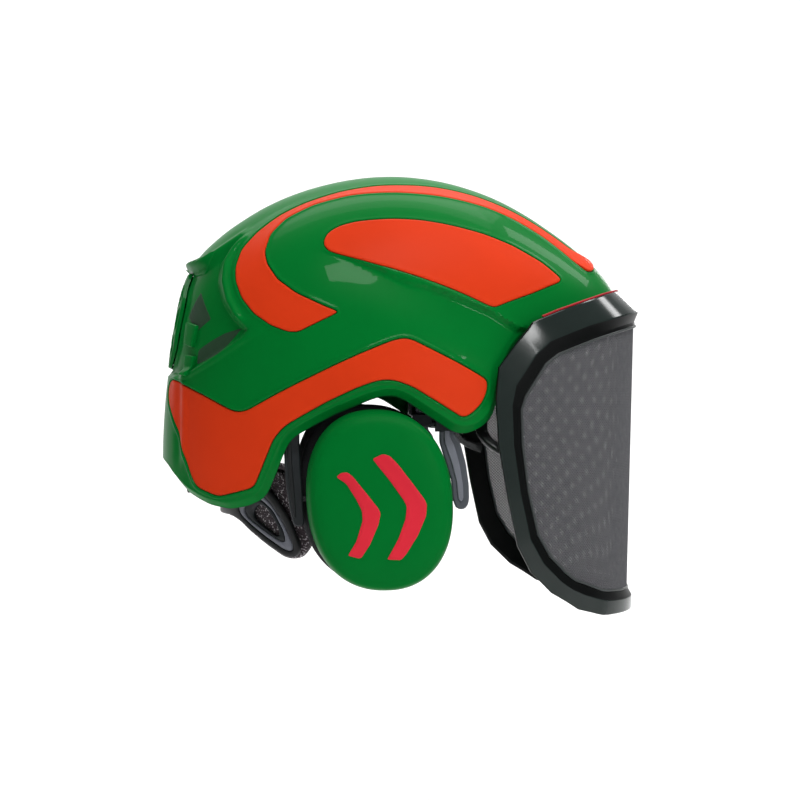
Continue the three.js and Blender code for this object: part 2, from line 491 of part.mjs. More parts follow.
put("cup_foam_right", ovalBody([[-110.5, 0, 0], [-110.5, A * 0.66, B * 0.68], [-104, A * 0.86 - 3, B * 0.88 - 3],
  [-88, A - 7, B - 7], [-88, 0, 0]]), FOAM, "right_muff_cup");
{
  // Cushion: a closed ring of rounded section round the oval.
  const profile = [[-83.9, -1], [-78, 0.6], [-73.5, -1.5], [-71.6, -6], [-72.6, -11], [-77, -14.5], [-83.9, -14.5]];
  const n = 24, k = profile.length;
  const ringPts = profile.map(([y, g]) => oval(A + g, B + g, n).map(([px, pz]) => [px - 1.2, y, pz + 1]));
  const pts = [], faces = [];
  for (let j = 0; j < n; j++) for (let i = 0; i < k; i++) pts.push(ringPts[i][j]);
  for (let j = 0; j < n; j++)
    for (let i = 0; i < k; i++) {
      const a = j * k + i, b = j * k + ((i + 1) % k), c = ((j + 1) % n) * k + i, d = ((j + 1) % n) * k + ((i + 1) % k);
      faces.push([a, c, b], [b, c, d]);
    }
  let made = solidOf(indexed(pts, faces));
  if (made.volume() < 0) made = solidOf(indexed(pts, faces.map(([a, b, c]) => [a, c, b])));
  put("ear_cushion_right", made, FOAM, "right_muff_cup");
}
const CHEVRON_LARGE = [
  [-11.1, -32.3], [-5.3, -29.6], [-1.4, -30.7], [3.2, -35.4], [10.9, -45.4], [17.9, -54.7], [19.2, -57.8], [18.7, -64],
  [14.1, -74.8], [7.8, -84.9], [4.8, -88.3], [-3, -87.9], [3.2, -76.4], [7.1, -65.5], [7.8, -58.6], [6.3, -55.5],
  [-1.4, -44.6], [-7.6, -36.9],
];
const CHEVRON_SMALL = [
  [-31, -42.3], [-28.5, -40], [-24.6, -39.6], [-21.5, -42.3], [-14.6, -50.8], [-7.6, -59.7], [-6.4, -62.4], [-7.6, -68.6],
  [-12.2, -79.5], [-16.9, -86.8], [-18.4, -87.3], [-24.6, -85.6], [-20, -77.9], [-16.5, -66.3], [-16.9, -60.9],
  [-20, -54.7], [-25.4, -46.2],
];
const chevronLayer = ovalBody([...cupOuter(1.1), [-90, A + 1, B + 1], [-90, 0, 0]])
  .subtract(ovalBody([...cupOuter(0.3), [-80, A + 0.3, B + 0.3], [-80, 0, 0]]));
for (const [name, outline] of [["chevron_large", CHEVRON_LARGE], ["chevron_small", CHEVRON_SMALL]])
  put(`${name}_right`, chevronLayer.intersect(alongY(outline, -130, -100)), CORAL, "right_muff_cup");
for (const name of ["ear_cup", "cup_plate", "cup_foam", "ear_cushion", "chevron_large", "chevron_small"])
  put(`${name}_left`, mirrored(nodes[`${name}_right`].solid), nodes[`${name}_right`].mat, "left_muff_cup");

// ---------- nape cradle and size adjuster ----------
function nape(a, b, n = 28) {
  const pts = [];
  for (let i = 0; i <= n; i++) {
    const t = Math.PI / 2 + (Math.PI * i) / n;
    pts.push([-14 + a * Math.cos(t), b * Math.sin(t)]);
  }
  return pts;
}
const napeWall = (o, i) => alongZ(nape(o[0], o[1]), -110, 40).subtract(alongZ([[5, i[1]], ...nape(i[0], i[1]), [5, -i[1]]], -111, 41));
const KNOB_Z = -42;
const CRADLE = [[-106, -31.3], [-94, -32.3], [-86, -38], [-76, -46], [-66, -55], [-57, -68], [-50.5, -84], [-51, -89], [-55, -91.5],
  [-61, -90], [-88, -70], [-106, -64]];
const WINDOW = [[-74, -56.5], [-66, -63], [-58.5, -76], [-57.5, -83.5], [-64, -81], [-82, -66]];
put("nape_cradle", napeWall([84.5, 76], [81.5, 73]).intersect(alongY(CRADLE, -100, 100))
  .subtract(alongY(WINDOW, -100, 100)).subtract(rodX(3.6, -120, -80, 0, KNOB_Z)), GREY, "nape");
put("nape_pad", napeWall([81.1, 72.6], [74.5, 66]).intersect(alongY([[-106, -38.4], [-88, -38.8], [-63, -40.6], [-58.5, -43],
  [-50, -64], [-44.5, -75], [-44.5, -85], [-51, -92.5], [-60, -92], [-88, -71.5], [-106, -65.5]], -100, 100)), FABRIC, "nape");
const strapWall = alongZ(ring(2.6), -60, 60).subtract(alongZ(ring(0.9), -61, 61));
const strap = strapWall.intersect(alongY([[6, 12], [6, 24.5], [-100, 24.5], [-100, -30.6], [-88, -30.6], [-86, -10], [-80, 12]], -100, 0))
  .subtract(box(-120, 20, -3.5, 10, -60, 60));
pair("nape_strap", strap, BLACK, "nape");
const housing = alongX(spline([[-24, 0], [-22, 9.5], [0, 11.5], [22, 9.5], [24, 0], [20, -10], [0, -12.5], [-20, -10]].map(([y, z]) => [y, z + KNOB_Z]), 28, true), -108.5, -98.9)
  .subtract(rodX(8, -106.5, -90, 0, KNOB_Z)).subtract(rodX(3.4, -120, -90, 0, KNOB_Z));
put("adjuster_housing", housing, BLACK, "nape");
const knobOutline = [];
for (let i = 0; i < 48; i++) {
  const t = (2 * Math.PI * i) / 48, r = i % 4 < 2 ? 15 : 13.8;
  knobOutline.push([r * Math.cos(t), KNOB_Z + r * Math.sin(t)]);
}
put("size_knob", alongX(knobOutline, -118.5, -109).add(rodX(11, -120.2, -118.3, 0, KNOB_Z, 28)), BLACK, "size_knob");
const gear = [];
for (let i = 0; i < 48; i++) {
  const t = (2 * Math.PI * i) / 48, r = i % 4 < 2 ? 7 : 5.2;
  gear.push([r * Math.cos(t), KNOB_Z + r * Math.sin(t)]);
}
put("adjuster_pinion", union(alongX(gear, -106, -100), rodX(3, -108.7, -97.5, 0, KNOB_Z)), GREY, "size_knob");

// ---------- assembly ----------
const ORIGINS = {
  helmet: [0, 0, 0],
  visor: [VISOR_PIVOT.x, 0, VISOR_PIVOT.z],
  right_muff_hinge: [0, HINGE_AXIS.y, HINGE_AXIS.z],
  left_muff_hinge: [0, -HINGE_AXIS.y, HINGE_AXIS.z],
  right_muff_legs: [0, HINGE_AXIS.y, HINGE_AXIS.z],
  left_muff_legs: [0, -HINGE_AXIS.y, HINGE_AXIS.z],
  right_muff_cup: [CUP.x, HINGE_AXIS.y, CUP.z],
  left_muff_cup: [CUP.x, -HINGE_AXIS.y, CUP.z],
  nape: [-14, 0, 0],
  size_knob: [-110, 0, KNOB_Z],
};
const PARENTS = {
  visor: "helmet", right_muff_hinge: "helmet", left_muff_hinge: "helmet", right_muff_legs: "right_muff_hinge",
  left_muff_legs: "left_muff_hinge", right_muff_cup: "right_muff_legs", left_muff_cup: "left_muff_legs",
  nape: "helmet", size_knob: "nape",
};
const groups = {};
for (const body of Object.keys(ORIGINS)) {
  groups[body] = new THREE.Group();
  const o = ORIGINS[body], p = ORIGINS[PARENTS[body]] ?? [0, 0, 0];
  groups[body].position.set(o[0] - p[0], o[1] - p[1], o[2] - p[2]);
  if (PARENTS[body]) groups[PARENTS[body]].add(groups[body]);
}
for (const [name, { solid, mat, body }] of Object.entries(nodes)) {
  const o = ORIGINS[body];
  const mesh = new THREE.Mesh(geometryOf(solid).translate(-o[0], -o[1], -o[2]), mat);
  mesh.name = name;
  groups[body].add(mesh);
}

export default groups.helmet;
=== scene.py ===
# Forestry helmet, visual model. Units are metres in Blender; the shape code below works in millimetres.
# Frame: +X is the wearer's forward direction, +Y the wearer's left, +Z up, origin in the middle of the head opening.
import bpy, bmesh, json, math
import numpy as np
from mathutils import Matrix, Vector, kdtree
from mathutils.geometry import delaunay_2d_cdt

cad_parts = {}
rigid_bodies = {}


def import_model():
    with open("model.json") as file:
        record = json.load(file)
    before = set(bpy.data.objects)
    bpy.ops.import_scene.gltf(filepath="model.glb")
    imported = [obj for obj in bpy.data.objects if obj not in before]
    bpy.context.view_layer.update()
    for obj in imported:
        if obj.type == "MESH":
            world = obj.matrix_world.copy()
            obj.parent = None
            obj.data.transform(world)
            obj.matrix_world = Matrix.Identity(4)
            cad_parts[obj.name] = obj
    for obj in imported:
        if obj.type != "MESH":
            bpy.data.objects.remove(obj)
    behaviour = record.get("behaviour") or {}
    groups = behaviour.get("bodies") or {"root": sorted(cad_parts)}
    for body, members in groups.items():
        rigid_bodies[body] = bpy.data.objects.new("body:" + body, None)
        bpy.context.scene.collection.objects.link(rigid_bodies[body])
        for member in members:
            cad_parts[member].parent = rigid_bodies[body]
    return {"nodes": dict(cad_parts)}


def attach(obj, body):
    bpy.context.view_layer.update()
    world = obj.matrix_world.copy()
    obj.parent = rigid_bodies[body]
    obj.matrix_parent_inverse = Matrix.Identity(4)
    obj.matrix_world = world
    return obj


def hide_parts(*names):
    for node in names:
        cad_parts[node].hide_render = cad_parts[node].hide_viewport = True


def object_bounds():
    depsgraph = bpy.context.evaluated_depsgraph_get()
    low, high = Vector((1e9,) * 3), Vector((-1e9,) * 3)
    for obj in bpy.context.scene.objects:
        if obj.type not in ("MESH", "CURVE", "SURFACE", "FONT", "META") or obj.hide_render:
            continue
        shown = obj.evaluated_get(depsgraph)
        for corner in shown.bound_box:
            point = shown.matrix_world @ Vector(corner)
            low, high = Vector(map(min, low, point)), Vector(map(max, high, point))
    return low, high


for o in list(bpy.data.objects):  # the start-up file's own cube, light and camera
    bpy.data.objects.remove(o, do_unlink=True)
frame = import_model()
cad_box = [list(v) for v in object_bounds()]
MM = 0.001

# ------------------------------------------------------------------ materials
def srgb(r, g, b):
    f = lambda c: c / 12.92 if c <= 0.04045 else ((c + 0.055) / 1.055) ** 2.4
    return (f(r / 255), f(g / 255), f(b / 255), 1.0)


def scaled(c, k):
    return (min(1, c[0] * k), min(1, c[1] * k), min(1, c[2] * k), 1.0)


def material(name, color, rough=0.3, metal=0.0, coat=0.0, coat_rough=0.05, specular=0.5, vary=0.06, vary_scale=60,
             rough_vary=0.04, bump=0.0, bump_scale=500, bump_kind="noise", dark=None, speck=None, sheen=0.0, edge=0.0):
    """A moulded, painted or woven surface: colour mottling, roughness variation and a fine relief, all from nodes."""
    m = bpy.data.materials.new(name)
    m.use_nodes = True
    nt = m.node_tree
    bsdf = nt.nodes["Principled BSDF"]
    bsdf.inputs["Metallic"].default_value = metal
    bsdf.inputs["Specular IOR Level"].default_value = specular
    bsdf.inputs["Coat Weight"].default_value = coat
    bsdf.inputs["Coat Roughness"].default_value = coat_rough
    bsdf.inputs["Sheen Weight"].default_value = sheen
    tc = nt.nodes.new("ShaderNodeTexCoord")
    noise = nt.nodes.new("ShaderNodeTexNoise")
    noise.inputs["Scale"].default_value = vary_scale
    noise.inputs["Detail"].default_value = 3
    nt.links.new(tc.outputs["Object"], noise.inputs["Vector"])
    ramp = nt.nodes.new("ShaderNodeValToRGB")
    ramp.color_ramp.elements[0].position = 0.3
    ramp.color_ramp.elements[1].position = 0.7
    ramp.color_ramp.elements[0].color = dark or scaled(color, 1 - vary)
    ramp.color_ramp.elements[1].color = scaled(color, 1 + vary)
    nt.links.new(noise.outputs["Fac"], ramp.inputs["Fac"])
    out = ramp.outputs["Color"]
    if speck:
        v = nt.nodes.new("ShaderNodeTexNoise")
        v.inputs["Scale"].default_value = speck[1]
        v.inputs["Detail"].default_value = 2
        nt.links.new(tc.outputs["Object"], v.inputs["Vector"])
        r2 = nt.nodes.new("ShaderNodeValToRGB")
        r2.color_ramp.elements[0].position = speck[2]
        r2.color_ramp.elements[1].position = speck[2] + 0.05
        mix = nt.nodes.new("ShaderNodeMix")
        mix.data_type = "RGBA"
        nt.links.new(v.outputs["Fac"], r2.inputs["Fac"])
        nt.links.new(r2.outputs["Color"], mix.inputs["Factor"])
        nt.links.new(out, mix.inputs["A"])
        mix.inputs["B"].default_value = speck[0]
        out = mix.outputs["Result"]
    nt.links.new(out, bsdf.inputs["Base Color"])
    rr = nt.nodes.new("ShaderNodeMapRange")
    rr.inputs["To Min"].default_value = max(0.02, rough - rough_vary)
    rr.inputs["To Max"].default_value = min(1, rough + rough_vary)
    nt.links.new(noise.outputs["Fac"], rr.inputs["Value"])
    nt.links.new(rr.outputs["Result"], bsdf.inputs["Roughness"])
    if bump:
        if bump_kind == "weave":
            w1 = nt.nodes.new("ShaderNodeTexWave")
            w2 = nt.nodes.new("ShaderNodeTexWave")
            w1.wave_type = w2.wave_type = "BANDS"
            w1.bands_direction, w2.bands_direction = "Z", "DIAGONAL"
            for w in (w1, w2):
                w.inputs["Scale"].default_value = bump_scale
                w.inputs["Distortion"].default_value = 1.0
                nt.links.new(tc.outputs["Object"], w.inputs["Vector"])
            h = nt.nodes.new("ShaderNodeMath")
            h.operation = "MULTIPLY"
            nt.links.new(w1.outputs["Fac"], h.inputs[0])
            nt.links.new(w2.outputs["Fac"], h.inputs[1])
            hout = h.outputs[0]
        elif bump_kind == "cells":
            h = nt.nodes.new("ShaderNodeTexVoronoi")
            h.inputs["Scale"].default_value = bump_scale
            nt.links.new(tc.outputs["Object"], h.inputs["Vector"])
            hout = h.outputs["Distance"]
        else:
            h = nt.nodes.new("ShaderNodeTexNoise")
            h.inputs["Scale"].default_value = bump_scale
            h.inputs["Detail"].default_value = 4
            nt.links.new(tc.outputs["Object"], h.inputs["Vector"])
            hout = h.outputs["Fac"]
        b = nt.nodes.new("ShaderNodeBump")
        b.inputs["Strength"].default_value = bump
        b.inputs["Distance"].default_value = 0.0004
        nt.links.new(hout, b.inputs["Height"])
        nt.links.new(b.outputs["Normal"], bsdf.inputs["Normal"])
    return m


GREEN = material("shell_green", srgb(0, 107, 39), rough=0.34, coat=0.075, coat_rough=0.03, specular=0.025, vary=0.03, vary_scale=25, bump=0.03, bump_scale=900)
# darker copy of the shell green for the inner wall and the shell's edge: its darker colour is painted shade
GREEN_PAINTED_SHADE = material("shell_green_painted_shade", srgb(4, 76, 33), rough=0.4, specular=0.05, vary=0.05, vary_scale=40, bump=0.05, bump_scale=900)
CUP_GREEN = material("cup_green", srgb(0, 104, 38), rough=0.42, specular=0.03, vary=0.03, vary_scale=30, bump=0.06, bump_scale=1600)
ORANGE = material("inlay_orange", srgb(205, 55, 21), rough=0.4, coat=0.0, specular=0.04, vary=0.025, vary_scale=25, bump=0.04, bump_scale=1200)
CORAL = material("chevron_coral", srgb(206, 41, 56), rough=0.42, specular=0.062, vary=0.07, vary_scale=14, bump=0.05, bump_scale=1500)
FRAME_BLACK = material("visor_gloss_black", srgb(30, 38, 36), rough=0.16, coat=0.0, specular=0.25, vary=0.06, vary_scale=40, bump=0.03, bump_scale=1200)
# darker, rougher copy of the frame black for the bevels, edges and back of the frame: the rougher finish is the
# surface's own, the darker colour is painted shade
FRAME_PAINTED_SHADE = material("visor_edge_painted_shade", srgb(9, 11, 11), rough=0.36, specular=0.08, vary=0.06, bump=0.03, bump_scale=1200)
BEAD_GREY = material("mesh_bead_grey", srgb(58, 62, 62), rough=0.4, specular=0.2, bump=0.05, bump_scale=1400)
MESH_METAL = material("mesh_metal", srgb(86, 86, 89), rough=0.6, metal=0.1, specular=0.15, vary=0.1, vary_scale=300, bump=0.05, bump_scale=2500)
LEG_GREY = material("leg_grey", srgb(73, 77, 84), rough=0.36, specular=0.4, vary=0.06, vary_scale=50, bump=0.1, bump_scale=1500)
LEG_DARK = material("leg_dark", srgb(32, 36, 39), rough=0.4, specular=0.3, vary=0.08, vary_scale=50, bump=0.1, bump_scale=1500)
BLACK = material("black_plastic", srgb(30, 32, 34), rough=0.45, specular=0.25, vary=0.08, vary_scale=60, bump=0.12, bump_scale=1800)
SOFT_BLACK = material("cushion_skin", srgb(24, 24, 27), rough=0.6, specular=0.2, vary=0.12, vary_scale=90, bump=0.35, bump_scale=2200)
EPS = material("liner_foam", srgb(58, 60, 62), rough=0.9, specular=0.2, vary=0.12, vary_scale=250, bump=0.7, bump_scale=380, bump_kind="cells")
FOAM = material("acoustic_foam", srgb(44, 45, 48), rough=0.95, specular=0.15, vary=0.2, vary_scale=500, bump=0.8, bump_scale=900)
FABRIC = material("pad_fabric", srgb(62, 54, 58), rough=0.92, specular=0.15, vary=0.18, vary_scale=500, bump=0.7, bump_scale=420,
                  bump_kind="weave", speck=(srgb(190, 184, 188), 900, 0.585), sheen=0.3)
CRADLE = material("cradle_grey", srgb(112, 114, 124), rough=0.4, specular=0.45, vary=0.06, vary_scale=50, bump=0.1, bump_scale=1500)
CRADLE_RIM = material("cradle_rim", srgb(28, 29, 31), rough=0.5, specular=0.4, bump=0.1, bump_scale=1500)
STEEL = material("arm_steel", srgb(176, 180, 182), rough=0.24, metal=0.9, specular=0.5, vary=0.1, vary_scale=160, bump=0.08, bump_scale=1800)
ARM_DARK = material("arm_dark", srgb(40, 42, 42), rough=0.25, metal=0.5, specular=0.4, vary=0.1, vary_scale=120, bump=0.08, bump_scale=1500)
POCKET = material("pocket_grey_green", srgb(40, 66, 46), rough=0.5, specular=0.1, vary=0.08, vary_scale=60, bump=0.1, bump_scale=1200)
SEAL_RED = material("seal_red", srgb(150, 26, 34), rough=0.5, specular=0.1, bump=0.05, bump_scale=1500)

# ------------------------------------------------------------------ the shell's surface
RM = np.array([
    157.1, 157.5, 158.4, 159.3, 156.9, 151.9, 147.6, 144.7, 142.6, 140.7, 139.2, 138.0, 137.1, 136.4, 136.2, 136.6,
    137.4, 138.4, 139.9, 141.0, 138.8, 134.9, 132.0, 130.9, 131.6, 133.9, 137.9, 143.8, 151.4, 160.0, 168.7, 176.8,
    183.0, 186.3, 188.0, 188.7, 190.2, 192.1, 194.5, 197.6, 199.3, 198.4, 192.9, 184.3, 175.4, 167.3, 162.0, 158.5])
NEXP, WIDTH, NARROW = 2.25, 104.0, 0.16


def rm(psi):
    x = (np.asarray(psi, float) / (2 * np.pi)) % 1.0 * 48
    i = np.floor(x).astype(int)
    t = x - i
    a, b, c, d = (RM[(i + k) % 48] for k in (-1, 0, 1, 2))
    return 0.5 * (2 * b + (c - a) * t + (2 * a - 5 * b + 4 * c - d) * t ** 2 + (3 * b - a - 3 * c + d) * t ** 3)


def narrowing(x):
    t = np.clip((x + 20) / 160, 0, 1)
    return 1 - NARROW * t * t * (3 - 2 * t)


def level(p):
    rho = np.hypot(p[..., 0], p[..., 2]) / rm(np.arctan2(p[..., 2], p[..., 0]))
    return rho ** NEXP + (np.abs(p[..., 1]) / (WIDTH * narrowing(p[..., 0]))) ** NEXP


def solve(d):
    """Points of the surface along unit directions d (n, 3)."""
    r = np.full(d.shape[:-1], 140.0)
    for _ in range(36):
        f = level(d * r[..., None]) ** (1 / NEXP)
        r = r * (0.5 + 0.5 / f)
    return d * r[..., None]


def normals(p):
    g = np.zeros_like(p)
    for k in range(3):
        e = np.zeros(3)
        e[k] = 0.3
        g[..., k] = level(p + e) - level(p - e)
    return g / np.linalg.norm(g, axis=-1, keepdims=True)


def lift(xz):
    """Side-view points (n, 2) to surface points on the right half (y <= 0)."""
    xz = np.asarray(xz, float).reshape(-1, 2)
    rho = np.hypot(xz[:, 0], xz[:, 1]) / rm(np.arctan2(xz[:, 1], xz[:, 0]))
    k = np.where(rho > 1, 1 / rho, 1.0)
    x, z = xz[:, 0] * k, xz[:, 1] * k
    rho = np.minimum(rho, 1.0)
    y = -WIDTH * narrowing(x) * np.maximum(0, 1 - rho ** NEXP) ** (1 / NEXP)
    return np.stack([x, y, z], -1)


def chart(p):
    r = np.linalg.norm(p, axis=-1)
    th = np.arccos(np.clip(-p[..., 1] / r, -1, 1))
    psi = np.arctan2(p[..., 2], p[..., 0])
    return np.stack([th * np.cos(psi), th * np.sin(psi)], -1)


def unchart(st):
    th = np.hypot(st[..., 0], st[..., 1])
    psi = np.arctan2(st[..., 1], st[..., 0])
    d = np.stack([np.sin(th) * np.cos(psi), -np.cos(th), np.sin(th) * np.sin(psi)], -1)
    return solve(d)


# ------------------------------------------------------------------ curve tools
def rounded(pts, cut=2.5, steps=5, closed=True):
    """Corners of a polyline rounded off within `cut` of each corner."""
    p = [np.array(q, float) for q in pts]
    n = len(p)
    out = []
    for i in range(n):
        if not closed and i in (0, n - 1):
            out.append(p[i])
            continue
        a, b, c = p[(i - 1) % n], p[i], p[(i + 1) % n]
        la, lc = np.linalg.norm(a - b), np.linalg.norm(c - b)
        s, e = b + (a - b) * min(cut, 0.48 * la) / la, b + (c - b) * min(cut, 0.48 * lc) / lc
        for k in range(steps + 1):
            t = k / steps
            out.append((1 - t) ** 2 * s + 2 * t * (1 - t) * b + t * t * e)
    return np.array(out)


def resample(p, step, closed=True):
    p = np.asarray(p, float)
    q = np.vstack([p, p[:1]]) if closed else p
    seg = np.linalg.norm(np.diff(q, axis=0), axis=1)
    keep = np.concatenate([[True], seg > 1e-9])
    q = q[keep]
    s = np.concatenate([[0], np.cumsum(np.linalg.norm(np.diff(q, axis=0), axis=1))])
    n = max(8, int(round(s[-1] / step)))
    t = np.linspace(0, s[-1], n, endpoint=False) if closed else np.linspace(0, s[-1], n + 1)
    return np.stack([np.interp(t, s, q[:, k]) for k in range(q.shape[1])], -1)


def area2(p):
    return 0.5 * np.sum(p[:, 0] * np.roll(p[:, 1], -1) - np.roll(p[:, 0], -1) * p[:, 1])


def inside(pts, poly):
    """Which of pts (n, 2) lie inside the closed polygon."""
    x, y = pts[:, 0], pts[:, 1]
    r = np.zeros(len(pts), bool)
    a = poly
    b = np.roll(poly, -1, axis=0)
    for (x1, y1), (x2, y2) in zip(a, b):
        if y1 == y2:
            continue
        c = ((y1 > y) != (y2 > y)) & (x < (x2 - x1) * (y - y1) / (y2 - y1) + x1)
        r ^= c
    return r


def seg_distance(p, line):
    """Distance of points p (n, 3) to a 3D polyline, with the nearest segment's index and how far along the line (0..1)."""
    best = np.full(len(p), 1e9)
    along = np.zeros(len(p))
    total = np.concatenate([[0], np.cumsum(np.linalg.norm(np.diff(line, axis=0), axis=1))])
    for i in range(len(line) - 1):
        a, b = line[i], line[i + 1]
        ab = b - a
        t = np.clip(((p - a) @ ab) / (ab @ ab), 0, 1)
        d = np.linalg.norm(p - (a + t[:, None] * ab), axis=1)
        m = d < best
        best[m] = d[m]
        along[m] = (total[i] + t[m] * (total[i + 1] - total[i])) / total[-1]
    return best, along


def smooth(a, b, x):
    t = np.clip((x - a) / (b - a), 0, 1)
    return t * t * (3 - 2 * t)


def offset_on_surface(p, d, closed=True):
    """A loop on the shell moved sideways over the surface by d, outwards positive for a loop that turns clockwise in (x, z)
    as seen from the right side, that is counter-clockwise in (x, z) numbers."""
    prev, nxt = np.roll(p, 1, axis=0), np.roll(p, -1, axis=0)
    if not closed:
        prev[0], nxt[-1] = p[0], p[-1]
    t = nxt - prev
    t /= np.linalg.norm(t, axis=1, keepdims=True)
    n = normals(p)
    side = np.cross(t, n)
    # t counter-clockwise in (x, z); n points to -y: t x n points outwards in (x, z)
    q = p + side * d
    return solve(q / np.linalg.norm(q, axis=1, keepdims=True))


def new_object(name, verts, faces, mats, mat_index=None, body="helmet", replaces=(), smooth_angle=35, uv=None):
    me = bpy.data.meshes.new(name)
    v = np.asarray(verts, float) * MM
    me.from_pydata(v.tolist(), [], [tuple(int(i) for i in f) for f in faces])
    me.validate()
    for m in mats if isinstance(mats, (list, tuple)) else [mats]:
        me.materials.append(m)
    if mat_index is not None and len(mat_index) == len(me.polygons):
        me.polygons.foreach_set("material_index", np.asarray(mat_index, np.int32))
    me.polygons.foreach_set("use_smooth", np.ones(len(me.polygons), bool))
    o = bpy.data.objects.new(name, me)
    bpy.context.scene.collection.objects.link(o)
    bm = bmesh.new()
    bm.from_mesh(me)
    bmesh.ops.remove_doubles(bm, verts=bm.verts, dist=1e-6)
    bmesh.ops.dissolve_degenerate(bm, edges=bm.edges, dist=1e-7)
    bmesh.ops.recalc_face_normals(bm, faces=bm.faces)
    if smooth_angle < 180:
        lim = math.radians(smooth_angle)
        for e in bm.edges:
            if len(e.link_faces) == 2 and e.calc_face_angle(0) > lim:
                e.smooth = False
    bm.to_mesh(me)
    bm.free()
    finish_piece(o, body, replaces)
    return o


def finish_piece(o, body, replaces=()):
    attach(o, body)
    if replaces:
        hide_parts(*replaces)


def flipped(v):
    v = np.array(v, float)
    v[:, 1] *= -1
    return v


def patch(region, loops, fill, offset_of, base, drop=(), min_gap=0.55, spacing=0.02):
    """Triangulates a flat region with nested loops in it and lifts it on to a surface.
    region: closed polygon (n, 2); loops: [(points (m, 2), offset or array or None, closed)]; fill: free points (k, 2);
    base(points) gives 3D points and normals; offset_of(points3) adds to each point's height."""
    pts, offs, edges = [], [], []
    for p, off, closed in loops:
        k0 = len(pts)
        o = np.full(len(p), np.nan if off is None else 0.0) if off is None or np.isscalar(off) else np.asarray(off, float)
        if np.isscalar(off):
            o = np.full(len(p), float(off))
        pts += p.tolist()
        offs += o.tolist()
        m = len(p)
        edges += [(k0 + i, k0 + (i + 1) % m) for i in range(m if closed else m - 1)]
    if len(fill):
        tree = kdtree.KDTree(len(pts))
        for i, q in enumerate(pts):
            tree.insert((q[0], q[1], 0), i)
        tree.balance()
        f = fill[inside(fill, region)]
        for q in f:
            if tree.find((q[0], q[1], 0))[2] > min_gap * spacing:
                pts.append([q[0], q[1]])
                offs.append(0.0)
    out = delaunay_2d_cdt([Vector(q) for q in pts], edges, [], 0, 1e-9, True)
    v2 = np.array([tuple(v) for v in out[0]])
    tri = np.array([f for f in out[2] if len(f) == 3], int)
    off = np.zeros(len(v2))
    for i, orig in enumerate(out[3]):
        if orig:
            vals = [offs[j] for j in orig if not math.isnan(offs[j])]
            off[i] = max(vals, key=abs) if vals else 0.0
    c = v2[tri].mean(1)
    keep = inside(c, region)
    for d in drop:
        keep &= ~inside(c, d)
    tri = tri[keep]
    p, n = base(v2)
    h = off + offset_of(p)
    return p, n, h, tri, v2


def compact(v, tri, *extra):
    used = np.unique(tri)
    back = np.full(len(v), -1)
    back[used] = np.arange(len(used))
    return v[used], back[tri], [e[used] for e in extra]


# ------------------------------------------------------------------ outlines, side view
RIM = [[-160, -32], [-136.5, -36.8], [-129.6, -40.6], [-125.3, -46], [-116.9, -54.1], [-104.1, -60.3], [-91.8, -62.3],
       [-81.5, -60.3], [-73.5, -56.7], [-69.6, -52.3], [-64.5, -39.9], [-58.9, -25.8], [-55, -20.7], [-44.4, -14.5],
       [-30.5, -7.5], [-17.2, -2.1], [-9.9, 0.9], [-2.1, 2.7], [4.1, 2.2], [9.8, -0.6], [20, -7.3], [28.1, -12.4],
       [36.2, -17.5], [41.5, -18.9], [47.4, -18], [54.5, -14.5], [59.9, -9.1], [62.3, -2.3], [64, 6], [66, 16],
       [73, 28], [80, 36], [87, 40], [100, 45.5], [113, 50.5], [130, 57], [170, 72]]
SIDE = [[-126.1, 13.1], [-128.2, 7.2], [-128, -1], [-125.2, -9.4], [-122.2, -17.6], [-117.7, -29.7], [-113.3, -43.4],
        [-109.9, -50.2], [-98.2, -54.8], [-94.7, -54.7], [-76.5, -49.5], [-71.7, -37.5], [-65.4, -21.7], [-59.1, -14.6],
        [-50.6, -9.5], [-35, -0.8], [-19.4, 6.5], [-9.9, 10], [-4.3, 11.2], [2.4, 11], [12, 7.6], [28.2, -2], [41.3, -10.2],
        [46, -8.2], [52.5, -2], [55.6, 5.1], [56, 11.4], [47.4, 16.4], [39.8, 20.6], [16.7, 32], [12.1, 34.2], [7.1, 35],
        [0.3, 33.3], [-19, 25.3], [-40.3, 15.3], [-63.8, 3.5], [-80.3, -5.8], [-86, -6.8], [-90.9, -5.1], [-104.1, 2],
        [-120.3, 10.3]]
CREST = [[122.9, 76.8], [127.6, 78], [129, 81.5], [127.2, 85], [122.3, 87], [114.3, 92], [96.6, 104], [78.7, 113.6],
         [55, 122.4], [31.3, 126.9], [8, 127.6], [-6.2, 126.8], [-26.7, 123], [-47.1, 116.1], [-62.2, 108.4], [-75.3, 98.1],
         [-84.2, 87.6], [-87.6, 76.9], [-87.4, 68.6], [-83.8, 58.3], [-76.8, 49.1], [-67.1, 42.1], [-57.3, 38.3],
         [-51.6, 38.2], [-38.1, 44.9], [-28.5, 49.6], [-38.1, 53.6], [-52.5, 60.6], [-63.2, 68.9], [-69.2, 78.3],
         [-70.6, 85.6], [-67.3, 96.4], [-58.3, 106], [-42.1, 114.4], [-21.9, 120], [-1.7, 121.9], [20.6, 121.5],
         [36.1, 120], [59.5, 115], [77.4, 108.2], [95.2, 98.2], [106.7, 89.6], [115.4, 82.3]]
BROW = [[-37.2, 90.9], [-34.6, 96.2], [-27.7, 100.4], [-17.7, 103.1], [2.1, 104.8], [19, 104.3], [34.2, 102.2],
        [57.2, 97], [74.7, 90.6], [92.2, 81.3], [103.3, 72.4], [103.9, 70], [84.4, 61.9], [66.2, 55.2], [61.5, 53.1],
        [58.1, 53.6], [43.4, 60.3], [26.7, 66.6], [10.3, 72], [-8.7, 77.4], [-23.2, 81.5], [-33.9, 84.7], [-36.7, 87.9]]
OUTLINES = {"side": SIDE, "crest": CREST, "brow": BROW}
LOOP3 = {}
